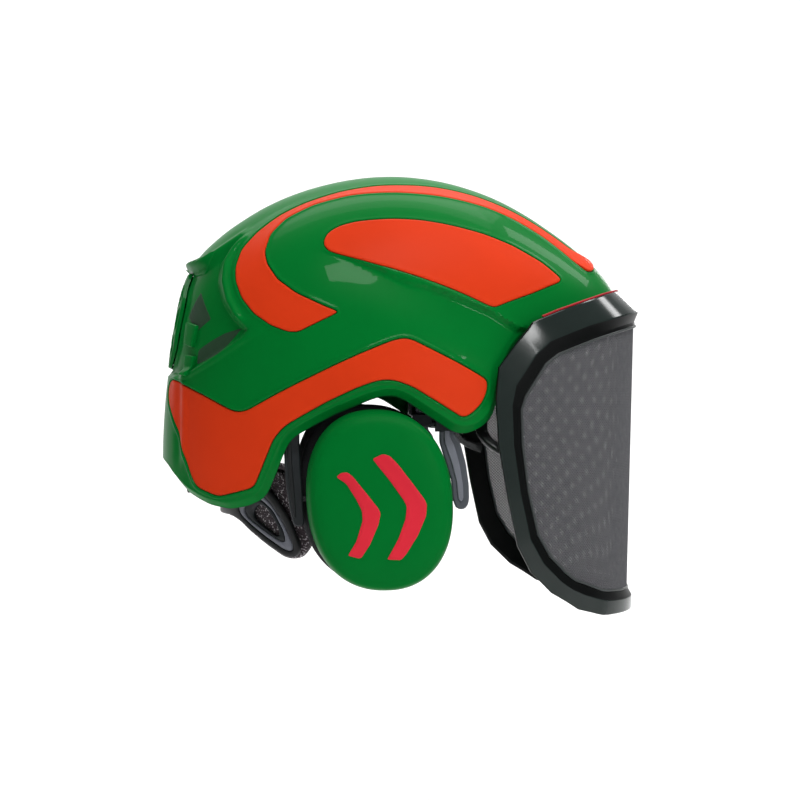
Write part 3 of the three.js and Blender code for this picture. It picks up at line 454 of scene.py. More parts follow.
for key, o in OUTLINES.items():
    o = np.array(o, float)
    if area2(o) < 0:
        o = o[::-1]
    p = lift(rounded(o, 1.8 if key == "crest" else 3.2))
    p = resample(p, 1.1)
    # ease the loop, then put it back on the surface
    for _ in range(2):
        p = 0.5 * p + 0.25 * (np.roll(p, 1, 0) + np.roll(p, -1, 0))
    LOOP3[key] = solve(p / np.linalg.norm(p, axis=1, keepdims=True))

# Feature lines on the shell, side view.
BROW_CREASE = lift(resample([[-52, 92], [-30.5, 87.0], [-5.2, 78.2], [12.3, 69.6], [34.7, 60.8], [58.2, 51.5], [74.9, 41.4]], 3, False))
REAR_RIDGE = lift(resample([[-78, 100], [-84, 93], [-89, 87], [-92.5, 80], [-93.6, 69], [-91, 57.5], [-86, 48], [-80.5, 42]], 3, False))
LIP = lift(resample([[-77.3, 103], [-85.3, 96.6], [-94.1, 90.8], [-100.8, 86.3], [-106.1, 82.6], [-112, 80.6], [-119, 80]], 3, False))
LOWER_LIP = lift(resample([[-70, 41], [-84.4, 32.9], [-94.8, 26.3], [-104.8, 20.1], [-115, 14.6], [-124, 11.5]], 3, False))
RECESS = np.array([[-79, 99], [-94.1, 89.4], [-106, 81], [-122, 79], [-150, 60], [-150, 20], [-126, 14], [-113, 17], [-104.8, 22],
                   [-94.8, 28], [-84.4, 35], [-80, 40], [-88, 48], [-94, 57.5], [-97, 69], [-96, 80], [-90, 90], [-82, 97]])


def region_distance(p, poly):
    """Signed distance in the side view to a closed polygon, positive inside."""
    xz = p[:, [0, 2]]
    q = np.c_[xz[:, 0], np.zeros(len(xz)), xz[:, 1]]
    line = np.c_[poly[:, 0], np.zeros(len(poly)), poly[:, 1]]
    d, _ = seg_distance(q, np.vstack([line, line[:1]]))
    return np.where(inside(xz, poly), d, -d)


def features(p):
    """Height of the shell's broad shapes above its smooth surface."""
    p = p.copy()
    p[:, 1] = -np.abs(p[:, 1])
    h = np.zeros(len(p))
    # step under the brow line
    d, s = seg_distance(p, BROW_CREASE)
    i = np.interp(p[:, 0], BROW_CREASE[:, 0], BROW_CREASE[:, 2]) - 3.4 * (1 - smooth(4, 34, p[:, 0]))
    below = smooth(-0.6, 1.8, i - p[:, 2])
    reach = smooth(-50, 6, p[:, 0])
    h += -2.4 * below * (1 - smooth(4, 34, d)) * reach * (1 - smooth(0.985, 1.0, s) * 0)
    h += 0.6 * np.exp(-((d / 1.6) ** 2)) * smooth(10, 34, p[:, 0])
    # ridge beside the crest stripe and the trough between them
    d, s = seg_distance(p, REAR_RIDGE)
    fade = smooth(0, 0.16, s) * (1 - smooth(0.86, 1, s))
    h += 2.2 * np.exp(-((d / 2.1) ** 2)) * fade
    # recess at the rear, its lip above and below
    d = region_distance(p, RECESS)
    h += -3.2 * smooth(-0.8, 3.2, d)
    d, s = seg_distance(p, LIP)
    h += (1.2 + 2.8 * smooth(0.2, 1, s)) * np.exp(-((d / 3.2) ** 2)) * smooth(0, 0.12, s)
    d, s = seg_distance(p, LOWER_LIP)
    h += 0.9 * np.exp(-((d / 1.8) ** 2)) * smooth(0, 0.2, s)
    # upright corner low at the rear
    g = smooth(-8, 4, -p[:, 2] + 12) * (1 - smooth(100, 118, -p[:, 0]) * 0)
    x = p[:, 0]
    rear = smooth(-10, -2, 12 - p[:, 2]) * (1 - smooth(28, 44, -p[:, 2]))
    h += rear * (0.9 * np.exp(-(((x + 117.5) / 1.8) ** 2)) - 0.9 * np.exp(-(((x + 121.5) / 1.8) ** 2)))
    return h


# ------------------------------------------------------------------ outer shell
def clip_side(a, b):
    """Point between a (outside the silhouette) and b where the median profile is met."""
    a, b = np.array(a, float), np.array(b, float)
    for _ in range(50):
        m = (a + b) / 2
        if np.hypot(*m) / rm(math.atan2(m[1], m[0])) > 1:
            a = m
        else:
            b = m
    return (a + b) / 2


rear_end, front_end = clip_side(RIM[0], RIM[1]), clip_side(RIM[-1], RIM[-2])
rim_side = rounded([rear_end.tolist()] + RIM[1:-1] + [front_end.tolist()], 3.0, closed=False)
rim3 = resample(lift(rim_side), 1.2, closed=False)
rim3 = solve(rim3 / np.linalg.norm(rim3, axis=1, keepdims=True))
rim3[0, 1] = rim3[-1, 1] = 0
psi0, psi1 = math.atan2(rear_end[1], rear_end[0]) % (2 * math.pi), math.atan2(front_end[1], front_end[0])
arc = np.linspace(psi1, psi0, 110)[1:-1]


def chart_arc(arc):
    return np.stack([np.pi / 2 * np.cos(arc), np.pi / 2 * np.sin(arc)], -1)


region = np.vstack([chart(rim3), chart_arc(arc)])
# rim3 runs rear to front along the bottom: with the crown arc it turns counter-clockwise in (x, z)
RIM_PROFILE = [(4.7, 0.0), (4.1, 0.05), (3.5, -0.3), (2.2, -1.5), (0.7, -2.8)]


def rim_loop(d):
    q = offset_on_surface(rim3, -d, closed=False)
    st = chart(q)
    # keep the ends on the median line
    for k in (0, -1):
        st[k] *= (np.pi / 2) / np.hypot(*st[k])
    st = st[np.hypot(st[:, 0], st[:, 1]) <= np.pi / 2 + 1e-9]
    return st


def hexgrid(x0, x1, y0, y1, s):
    out = []
    j = 0
    y = y0
    while y < y1:
        xs = np.arange(x0 + (s / 2 if j % 2 else 0), x1, s)
        out.append(np.c_[xs, np.full(len(xs), y)])
        y += s * 0.866
        j += 1
    return np.vstack(out)


VENT = np.array([[-21, 77], [21, 77], [30, 56], [27, 30], [17, 19], [-17, 19], [-27, 30], [-30, 56]], float)


def from_rear(yz):
    """(y, z) at the rear of the shell to 3D."""
    yz = np.asarray(yz, float)
    lo, hi = np.full(len(yz), -160.0), np.full(len(yz), -60.0)
    for _ in range(40):
        m = (lo + hi) / 2
        f = level(np.stack([m, yz[:, 0], yz[:, 1]], -1))
        lo = np.where(f > 1, m, lo)
        hi = np.where(f > 1, hi, m)
    return np.stack([(lo + hi) / 2, yz[:, 0], yz[:, 1]], -1)


vent_round = resample(rounded(VENT, 4), 1.6)
if area2(vent_round) < 0:
    vent_round = vent_round[::-1]


def vent_chart(scale_out):
    """Right half of the vent's edge moved outwards, as an open line in the chart that starts and ends on the median."""
    c = vent_round.copy()
    prev, nxt = np.roll(c, 1, 0), np.roll(c, -1, 0)
    t = nxt - prev
    t /= np.linalg.norm(t, axis=1, keepdims=True)
    c = c + np.stack([t[:, 1], -t[:, 0]], -1) * scale_out
    top, bot = 77 + scale_out, 19 - scale_out
    half = c[c[:, 0] < -0.4]
    half = half[np.argsort(-half[:, 1])] if False else half
    k = np.argmax(np.where(half[:, 1] > 60, half[:, 0], -1e9))
    half = np.roll(half, -k, axis=0)
    if half[1, 1] < half[0, 1] - 3 and half[1, 0] > -5:
        half = half[::-1]
    line = np.vstack([[0, top], half, [0, bot]])
    st = chart(from_rear(line))
    for k in (0, -1):
        st[k] *= (np.pi / 2) / np.hypot(*st[k])
    return st


vent_hole = vent_chart(0.0)
vent_poly = np.vstack([vent_hole, chart_arc(np.linspace(math.atan2(vent_hole[-1, 1], vent_hole[-1, 0]) % (2 * math.pi),
                                                          math.atan2(vent_hole[0, 1], vent_hole[0, 0]) % (2 * math.pi), 20)) * 1.2])


def shell_half():
    loops = [(chart(rim3), -3.3, False), (chart_arc(arc), None, False)]
    for d, off in RIM_PROFILE:
        loops.append((rim_loop(d), off, False))
    holes = []
    for key, p in LOOP3.items():
        high = {"side": 0.6, "crest": 0.3, "brow": 0.12}[key]
        for d, off in ((-0.9, -1.6), (0.0, -1.2), (0.35, high * 0.4), (0.75, high), (1.35, high), (2.0, high * 0.35), (2.7, 0.0)):
            q = offset_on_surface(p, d)
            st = chart(q)
            loops.append((st, off, True))
    for d, off in ((0.0, -2.2), (0.4, 0.6), (1.6, 1.0), (3.0, 0.2)):
        loops.append((vent_chart(d), off, False))
    grid = hexgrid(-1.62, 1.62, -1.0, 1.62, 0.0175)
    fine = hexgrid(-1.62, -0.55, 0.02, 1.15, 0.0095)
    p3 = unchart(fine)
    sel = (p3[:, 0] < -62) & (p3[:, 2] > 6) & (p3[:, 2] < 112)
    fine = fine[sel]
    g3 = unchart(grid)
    grid = grid[~((g3[:, 0] < -62) & (g3[:, 2] > 6) & (g3[:, 2] < 112))]
    fills = np.vstack([grid, fine])
    for p in LOOP3.values():
        fills = fills[~inside(fills, chart(offset_on_surface(p, 3.3)))]
    inner_rim = rim_loop(5.3)
    fills = fills[inside(fills, np.vstack([inner_rim, chart_arc(np.linspace(math.atan2(inner_rim[-1, 1], inner_rim[-1, 0]),
                                                                             math.atan2(inner_rim[0, 1], inner_rim[0, 0]) % (2 * math.pi), 160)) * 1.05]))]
    vent_out = vent_chart(3.6)
    fills = fills[~inside(fills, np.vstack([vent_out, chart_arc(np.linspace(math.atan2(vent_out[-1, 1], vent_out[-1, 0]) % (2 * math.pi),
                                                                            math.atan2(vent_out[0, 1], vent_out[0, 0]) % (2 * math.pi), 20)) * 1.2]))]
    fills = fills[np.hypot(fills[:, 0], fills[:, 1]) < np.pi / 2 - 0.006]

    def base(v2):
        p = unchart(v2)
        rad = np.hypot(v2[:, 0], v2[:, 1])
        p[np.abs(rad - np.pi / 2) < 1e-6, 1] = 0
        n = normals(p)
        n[np.abs(rad - np.pi / 2) < 1e-6, 1] = 0
        return p, n

    p, n, h, tri, v2 = patch(region, loops, fills, features, base, drop=[vent_poly], spacing=0.0095)
    v = p + n * h[:, None]
    v, tri, (v2u,) = compact(v, tri, v2)
    return v, tri


v, tri = shell_half()
count = len(v)
verts = np.vstack([v, flipped(v)])
faces = np.vstack([tri, tri[:, ::-1] + count])
shell = new_object("shell_skin", verts, faces, [GREEN], body="helmet", smooth_angle=48)


# the shell's inner wall and its edge, in a darker copy of the shell green: the darker tone is painted shade
def inner_half():
    rim_st = chart(rim3)
    grid = hexgrid(-1.62, 1.62, -1.0, 1.62, 0.05)
    grid = grid[np.hypot(grid[:, 0], grid[:, 1]) < np.pi / 2 - 0.02]

    def base(v2):
        p = unchart(v2)
        rad = np.hypot(v2[:, 0], v2[:, 1])
        e = np.abs(rad - np.pi / 2) < 1e-6
        p[e, 1] = 0
        n = normals(p)
        n[e, 1] = 0
        return p, n

    p, n, h, tri, v2 = patch(region, [(rim_st, 0.0, False), (chart_arc(arc), None, False), (rim_loop(3.0), 0.0, False)], grid,
                             lambda q: np.zeros(len(q)), base, drop=[vent_poly], spacing=0.05)
    near = np.exp(-(((p[:, 0] + 8) / 52) ** 4)) * np.clip((14 - p[:, 2]) / 14, 0, 1)
    v = p - n * (3.9 - 0.9 * near)[:, None]
    k = compact(v, tri)
    return k[0], k[1]


vi, ti = inner_half()
n_rim = normals(rim3)
n_rim[[0, -1], 1] = 0
lip = [rim3 + n_rim * -3.3, rim3 + n_rim * -3.6, rim3 + n_rim * -3.9]
for k, q in enumerate(lip):
    if k == 1:
        q[:, 2] -= 0.35
lv = np.vstack(lip)
m = len(rim3)
lf = [(r * m + i, r * m + i + 1, (r + 1) * m + i + 1, (r + 1) * m + i) for r in range(2) for i in range(m - 1)]
parts_v, parts_f, k0 = [], [], 0
for vv, ff in ((vi, ti), (lv, lf)):
    for flip in (False, True):
        parts_v.append(flipped(vv) if flip else vv)
        parts_f += [tuple(np.array(f)[::-1] + k0) if flip else tuple(np.array(f) + k0) for f in ff]
        k0 += len(vv)
inner = new_object("shell_inner_wall", np.vstack(parts_v), parts_f, [GREEN_PAINTED_SHADE], body="helmet", smooth_angle=50)
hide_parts("outer_shell")


# ------------------------------------------------------------------ colour inlays
def inlay(key, name):
    p = LOOP3[key]
    loops, region_i = [], None
    for d, off in ((-0.22, -1.1), (-0.3, -0.15), (-0.7, 0.12), (-1.4, 0.22)):
        st = chart(offset_on_surface(p, d))
        if region_i is None:
            region_i = st
        loops.append((st, off, True))
    lo, hi = region_i.min(0), region_i.max(0)
    grid = hexgrid(lo[0], hi[0], lo[1], hi[1], 0.016)

    def extra(q):
        h = features(q)
        if key == "crest":
            h = h + 1.3 * smooth(112, 124, q[:, 0])
        return h

    def base(v2):
        q = unchart(v2)
        return q, normals(q)

    q, n, h, tri, v2 = patch(region_i, loops, grid[inside(grid, chart(offset_on_surface(p, -2.2)))], extra, base, spacing=0.012)
    v = q + n * (h + np.where(h < -5, 0, 0.0))[:, None]
    fillmask = np.ones(len(v2), bool)
    v, tri, _ = compact(v, tri)
    for side, flip in (("right", False), ("left", True)):
        vv = flipped(v) if flip else v
        ff = tri[:, ::-1] if flip else tri
        new_object(f"{name}_{side}_face", vv, ff, [ORANGE], body="helmet",
                   replaces=[f"{key}_inlay_{side}"], smooth_angle=50)


for key in ("side", "crest", "brow"):
    inlay(key, f"{key}_inlay")


# ------------------------------------------------------------------ moulded details at the rear
def shell_plate(name, xz, rise, mat, edge=0.5, cut=1.0, step=0.9, sink=1.2, dome_by=0.0):
    """A low boss or pocket floor that follows the shell, mirrored to both sides."""
    o = lift(rounded(xz, cut, 3))
    o = resample(o, step)
    st = chart(o)
    if area2(st) < 0:
        o, st = o[::-1], st[::-1]
    n3 = normals(o)
    t = np.roll(o, -1, 0) - np.roll(o, 1, 0)
    t /= np.linalg.norm(t, axis=1, keepdims=True)
    side = np.cross(t, n3)

    def moved(d):
        q = o + side * d
        return chart(solve(q / np.linalg.norm(q, axis=1, keepdims=True)))

    loops = [(st, -sink, True), (moved(-0.05), rise - edge * 0.6, True), (moved(-edge * 0.5), rise - edge * 0.12, True), (moved(-edge), rise, True)]
    lo, hi = st.min(0), st.max(0)
    g = hexgrid(lo[0], hi[0], lo[1], hi[1], 0.016)
    core = moved(-edge - 0.6)
    g = g[inside(g, core)]
    p, n, h, tri, v2 = patch(st, loops, g, features, lambda q: (unchart(q), normals(unchart(q))), spacing=0.01)
    k = inside(v2, moved(-edge - 0.3))
    h = np.where(k, h + rise + dome_by, h)
    v, tri, _ = compact(p + n * h[:, None], tri)
    for tag, flip in (("right", False), ("left", True)):
        new_object(f"{name}_{tag}", flipped(v) if flip else v, tri[:, ::-1] if flip else tri, [mat], body="helmet", smooth_angle=30)


shell_plate("pocket_upper", [[-110.7, 64.3], [-104.0, 47.3], [-112.4, 40.8], [-118.7, 49.6]], 0.25, POCKET, edge=0.4)
shell_plate("pocket_lower", [[-84.7, 41.6], [-96, 38.5], [-111.7, 29.6], [-112.6, 20.6], [-98, 25.6]], 0.2, POCKET, edge=0.4, cut=2.0)
shell_plate("fin_upper", [[-118.1, 46.4], [-111.3, 43.7], [-114.4, 30.8], [-119.6, 33.1]], 2.4, GREEN, edge=0.9)
shell_plate("fin_lower", [[-118.8, 26.9], [-112.9, 25.8], [-114.7, 13.6], [-119.7, 14.9]], 2.4, GREEN, edge=0.9)
shell_plate("lip_facet", [[-119.4, 79.4], [-100.8, 86.4], [-98.8, 86.9], [-107.9, 75.7], [-114.9, 75.1]], 0.8, GREEN, edge=0.8)


# ------------------------------------------------------------------ rear vent lattice
def vent_lattice():
    outer = vent_round
    cells = []
    pitch_y, pitch_z, r = 17.0, 14.8, 7.4
    for j in range(-4, 12):
        for i in range(-4, 5):
            cy = (i + (0.5 if j % 2 else 0)) * pitch_y
            cz = 48 + (j - 3) * pitch_z
            hexa = np.array([[cy + r * math.cos(a) * 0.98, cz + r * math.sin(a) * 1.02] for a in np.radians(30 + 60 * np.arange(6))])
            hexa = resample(rounded(hexa, 1.6, 3), 1.6)
            keep = inside(hexa, outer)
            c = np.array([[cy, cz]])
            d, _ = seg_distance(np.c_[hexa, np.zeros(len(hexa))], np.c_[np.vstack([outer, outer[:1]]), np.zeros(len(outer) + 1)])
            if keep.all() and d.min() > 2.2:
                cells.append(hexa)
            elif inside(c, outer)[0] or keep.sum() > len(keep) * 0.4:
                # pull the points that lie outside back to just inside the rim
                q = hexa.copy()
                centre = hexa[keep].mean(0) if keep.any() else c[0]
                for _ in range(14):
                    kk = inside(q, outer)
                    dd, _s = seg_distance(np.c_[q, np.zeros(len(q))], np.c_[np.vstack([outer, outer[:1]]), np.zeros(len(outer) + 1)])
                    bad = ~kk | (dd < 2.6)
                    if not bad.any():
                        break
                    q[bad] += (centre - q[bad]) * 0.12
                if abs(area2(q)) > 22:
                    cells.append(resample(q, 1.6))
    loops = [(outer, -1.6, True)]

    def grown(c, d):
        if area2(c) < 0:
            c = c[::-1]
        t = np.roll(c, -1, 0) - np.roll(c, 1, 0)
        t /= np.maximum(np.linalg.norm(t, axis=1, keepdims=True), 1e-9)
        return c + np.stack([t[:, 1], -t[:, 0]], -1) * d

    loops.append((grown(outer, -0.7), 0.3, True))
    for c in cells:
        loops.append((c, -4.2, True))
        loops.append((grown(c, 0.25), -0.5, True))
        loops.append((grown(c, 0.95), 0.55, True))
    grid = hexgrid(-36, 36, 14, 82, 2.2)

    def base(v2):
        q = from_rear(v2)
        return q, normals(q)

    p, n, h, tri, v2 = patch(outer, loops, grid, lambda q: np.zeros(len(q)), base, drop=cells, spacing=2.2, min_gap=0.4)
    # points of the free grid lie on top of the bars
    top = np.abs(h) < 1e-9
    h = np.where(top, 0.75, h)
    v, tri, _ = compact(p + n * h[:, None], tri)
    new_object("vent_lattice", v, tri, [GREEN], body="helmet", replaces=["rear_vent_grille"], smooth_angle=28)
    # dark screen behind the lattice
    g = hexgrid(-33, 33, 15, 80, 4)
    p, n, h, tri, v2 = patch(grown(outer, 1.5), [(grown(outer, 1.5), 0.0, True)], g, lambda q: np.zeros(len(q)), base, spacing=4)
    v, tri, _ = compact(p - n * 4.3, tri)
    new_object("vent_screen", v, tri, [BLACK], body="helmet", smooth_angle=60)


vent_lattice()

# ------------------------------------------------------------------ visor
VC, VL, VH, VE = 48.0, 111.0, 98.0, 2.3
BC, BL, BH, BE = 48.0, 99.0, 97.6, 2.15


def plan(c, l, h, e, t):
    ct, st_ = max(0.0, math.cos(t)), max(0.0, math.sin(t))
    return np.array([c + l * ct ** (2 / e), -h * st_ ** (2 / e)])


def angle_at(c, l, e, x):
    return math.acos(min(1.0, max(0.0, (x - c) / l) ** (e / 2)))


def table_at(table, x):
    t = np.array(sorted(table))
    return float(np.interp(x, t[:, 0], t[:, 1]))


TOP_OUTER = [[148, 67.6], [130, 62.5], [112, 56.3], [98, 51.3], [85, 46], [76, 41.5]]
TOP_INNER = [[160, 48.6], [140, 42.6], [122.9, 37.2], [103, 29.6], [97.5, 27.4]]
LOW_OUTER = [[160, -126.5], [149, -126.2], [131, -125.5], [111, -121], [93, -110.5]]
LOW_INNER = [[160, -114.5], [146, -113.8], [131, -112], [108, -105], [101, -99.5]]
SIDE_PAIRS = [[81.5, 43.6, 97.5, 27.4], [72.8, 33.5, 89.5, 21.5], [61.6, 18.5, 77, 2.5], [60, 0, 74.4, -5], [61.5, -25, 75, -26],
              [66.6, -55, 78.6, -53], [72.6, -83, 84.2, -77], [80.5, -98, 92, -90.3], [93, -110.5, 101, -99.5]]


def on_visor(x):
    return plan(VC, VL, VH, VE, angle_at(VC, VL, VE, x))


def on_band(x):
    return plan(BC, BL, BH, BE, angle_at(BC, BL, BE, x))


def plan_normal(x, y):
    u, v = max(0.0, (x - VC) / VL), abs(y) / VH
    g = np.array([u ** (VE - 1) / VL, -(v ** (VE - 1)) / VH])
    return g / np.linalg.norm(g)


def frame_stations():
    o, n = [], []
    steps = 34
    for i in range(steps + 1):
        q = i / steps
        a = plan(BC, BL, BH, BE, q * angle_at(BC, BL, BE, 81.5))
        b = plan(VC, VL, VH, VE, q * angle_at(VC, VL, VE, 97.5))
        o.append([a[0], a[1], table_at(TOP_OUTER, a[0])])
        n.append([b[0], b[1], table_at(TOP_INNER, b[0])])
    top_end = len(o) - 1
    side = []
    for a, b in zip(SIDE_PAIRS[:-1], SIDE_PAIRS[1:]):
        a, b = np.array(a, float), np.array(b, float)
        m = max(2, int(np.linalg.norm((b - a)[:2]) / 4))
        side += [a + (b - a) * k / m for k in range(m)]
    for ox, oz, nx, nz in side[1:]:
        o.append([ox, on_band(ox)[1], oz])
        n.append([nx, on_visor(nx)[1], nz])
    low_start = len(o)
    steps = 26
    for i in range(steps + 1):
        q = 1 - i / steps
        a = plan(VC, VL, VH, VE, q * angle_at(VC, VL, VE, 93))
        b = plan(VC, VL, VH, VE, q * angle_at(VC, VL, VE, 101))
        k = smooth(0, 0.35, 1 - q)
        a2 = on_band(93)
        if i == 0:
            a = a2
        elif k < 1:
            a = a + (on_band(min(a[0], BC + BL - 1)) - a) * (1 - k)
        o.append([a[0], a[1], table_at(LOW_OUTER, a[0])])
        n.append([b[0], b[1], table_at(LOW_INNER, b[0])])
    return np.array(o), np.array(n), top_end, low_start


ST_O, ST_N, TOP_END, LOW_START = frame_stations()
ST_O[0, 1] = ST_N[0, 1] = ST_O[-1, 1] = ST_N[-1, 1] = 0


def rake(x, z):
    """The front leans back a little towards the chin."""
    return -0.026 * max(0.0, 50 - z) * float(smooth(95, 150, x))


for q in (ST_O, ST_N):
    q[:, 0] += [rake(*r) for r in q[:, [0, 2]]]


def ring_frames():
    mid = (ST_O + ST_N) / 2
    t = np.gradient(mid, axis=0)
    t[0] = [0, -1, 0]
    t[-1] = [0, 1, 0]
    t /= np.linalg.norm(t, axis=1, keepdims=True)
    w = ST_N - ST_O
    width = np.linalg.norm(w, axis=1, keepdims=True)
    m = np.cross(t, w / width)
    pn = np.array([np.r_[plan_normal(*q[:2]), 0] for q in mid])
    m *= np.sign((m * pn).sum(1, keepdims=True))
    m /= np.linalg.norm(m, axis=1, keepdims=True)
    return w / width, width[:, 0], m


ST_W, ST_WIDTH, ST_M = ring_frames()


def sweep_ring(name, section, mats, mat_of=None, replaces=(), angle=30, start=0, stop=None):
    """section(width) gives [(across in mm from the outer edge, depth in mm)]. Swept round the right half and mirrored."""
    idx = list(range(len(ST_O)))[start:stop]
    rows = []
    for i in idx:
        crown = float(smooth(118, 152, ST_N[i, 0]) * smooth(0, 30, ST_N[i, 2]))
        rows.append([ST_O[i] + ST_W[i] * a - ST_M[i] * d for a, d in section(ST_WIDTH[i], crown)])
    rows = np.array(rows)
    k = rows.shape[1]
    full = start == 0 and stop is None
    left = rows[::-1].copy()
    left[..., 1] *= -1
    if full:
        left = left[1:-1]
    ring = np.vstack([rows, left]) if full else rows
    n = len(ring)
    faces, mi = [], []
    for i in range(n if full else n - 1):
        for j in range(k):
            a, b = i * k + j, i * k + (j + 1) % k
            c, d = ((i + 1) % n) * k + j, ((i + 1) % n) * k + (j + 1) % k
            faces.append((a, b, d, c))
            mi.append(mat_of(j) if mat_of else 0)
    verts = ring.reshape(-1, 3)
    if not full:
        faces += [tuple(range(k))[::-1], tuple((n - 1) * k + j for j in range(k))]
        mi += [0, 0]
        nv = len(verts)
        verts = np.vstack([verts, flipped(verts)])
        faces += [tuple(q + nv for q in f)[::-1] for f in list(faces)]
        mi += mi
    return new_object(name, verts, faces, mats, mat_index=mi, body="visor", replaces=replaces, smooth_angle=angle)


def frame_section(w, c):
    return [(0.5, 3.2), (0.0, 2.3), (0.0, 0.75), (0.25, 0.2), (0.8, 0.0), ((0.62 + 0.1 * c) * w, -3.4 * c), ((0.655 + 0.1 * c) * w, 0.12 - 3.4 * c),
            ((0.69 + 0.09 * c) * w, 0.45 - 3.0 * c),
            (0.93 * w, 2.1), (0.965 * w, 2.3), (w - 0.1, 2.6), (w + 0.3, 3.3), (w + 0.1, 4.4), (w - 0.8, 5.0), (0.55 * w, 5.0), (0.12 * w, 4.3)]


# the main face takes the gloss black; the bevels, edges and back take the darker copy, whose darker tone is painted
# shade
sweep_ring("visor_frame_moulding", frame_section, [FRAME_BLACK, FRAME_PAINTED_SHADE], mat_of=lambda j: 0 if j in (3, 4, 5) else 1,
           replaces=["visor_frame"], angle=9)


def tube_section(a0, d0, ra, rd, n=10):
    return lambda w, c: [(w + a0 + ra * math.cos(t), d0 + rd * math.sin(t)) for t in np.linspace(0, 2 * math.pi, n, endpoint=False)]


sweep_ring("mesh_edge_bead", tube_section(0.9, 3.1, 0.8, 0.8), [BEAD_GREY], replaces=["mesh_bead"], angle=60)
# thin red seal that shows along the top edge of the frame
seal = [(-0.6 + 0.75 * math.cos(t), 0.9 + 0.75 * math.sin(t)) for t in np.linspace(0, 2 * math.pi, 8, endpoint=False)]
sweep_ring("visor_top_seal", lambda w, c: seal, [SEAL_RED], angle=60, start=0, stop=TOP_END - 1)


def visor_mesh():
    depth = 3.1
    ts = np.linspace(0, math.pi / 2, 900)
    pts = []
    for t in ts:
        p = plan(VC, VL, VH, VE, t)
        n = plan_normal(p[0], p[1]) if t > 1e-6 else np.array([1.0, 0.0])
        pts.append(p - n * depth)
    pts = np.array(pts)
    pts[:, 1] = np.minimum(pts[:, 1], 0)
    s = np.concatenate([[0], np.cumsum(np.linalg.norm(np.diff(pts, axis=0), axis=1))])
    top = np.array([[q[0], q[2]] for q in ST_N])
    edge = np.vstack([top, [[175, -114.5], [175, 57]]])
    grown = edge.copy()
    # the hole's outline in (arc length, z), right half
    ex = np.array([np.interp(-min(q[1], 0), -pts[:, 1], s) if abs(q[1]) > 1 else 0.0 for q in ST_N])
    xs = ST_N[:, 0]
    order = np.argsort(pts[:, 0])
    ex = np.interp(xs, pts[order, 0], s[order])
    ex[0] = ex[-1] = 0
    loop = np.c_[ex, ST_N[:, 2]]
    ps, pz, hole = 1.9, 1.9, 0.27
    smax = ex.max()
    cells = []
    for j in range(int(-118 / (pz / 2)), int(60 / (pz / 2)) + 1):
        z = j * pz / 2
        sh = ps / 2 if j % 2 else 0.0
        n = int(smax / ps) + 1
        c = np.arange(-n, n + 1) * ps + sh
        cells.append(np.c_[c, np.full(len(c), z)])
    cells = np.vstack(cells)
    test = np.c_[np.abs(cells[:, 0]), cells[:, 1]]
    lp = loop.copy()
    keep = inside(test, np.vstack([lp, [[-5, lp[-1, 1]], [-5, lp[0, 1]]]]))
    near, _ = seg_distance(np.c_[test, np.zeros(len(test))], np.c_[lp, np.zeros(len(lp))])
    keep |= near < 1.0
    cells = cells[keep]
    out = np.array([[ps / 2, 0], [0, pz / 2], [-ps / 2, 0], [0, -pz / 2]])
    quads = []
    v = np.concatenate([cells[:, None, :] + out[None], cells[:, None, :] + out[None] * hole], axis=1).reshape(-1, 2)
    k = np.arange(len(cells)) * 8
    f = np.vstack([np.c_[k + a, k + (a + 1) % 4, k + 4 + (a + 1) % 4, k + 4 + a] for a in range(4)])
    back = np.tile(np.r_[np.zeros(4), np.ones(4)], len(cells))  # the strands slope back towards each opening
    key = np.round(v / 0.05).astype(np.int64)
    _, first, inv = np.unique(key, axis=0, return_index=True, return_inverse=True)
    inv = inv.reshape(-1)
    v, f, back = v[first], inv[f], back[first]
    x = np.interp(np.abs(v[:, 0]), s, pts[:, 0])
    y = np.interp(np.abs(v[:, 0]), s, -pts[:, 1]) * np.where(v[:, 0] > 0, -1, 1)
    x = x + np.array([rake(a, b) for a, b in zip(x, v[:, 1])])
    mid = np.stack([x, -np.abs(y)], -1)
    nn = np.array([plan_normal(a, b) for a, b in mid])
    x = x - nn[:, 0] * back * 0.34
    y = y + np.where(y > 0, 1, -1) * nn[:, 1] * back * 0.34
    p3 = np.c_[x, y, v[:, 1]]
    me = bpy.data.meshes.new("wire_mesh")
    me.from_pydata((p3 * MM).tolist(), [], f.tolist())
    me.materials.append(MESH_METAL)
    me.polygons.foreach_set("use_smooth", np.zeros(len(me.polygons), bool))
    o = bpy.data.objects.new("wire_mesh", me)
    bpy.context.scene.collection.objects.link(o)
    finish_piece(o, "visor", ["visor_mesh"])
    return o


visor_mesh()


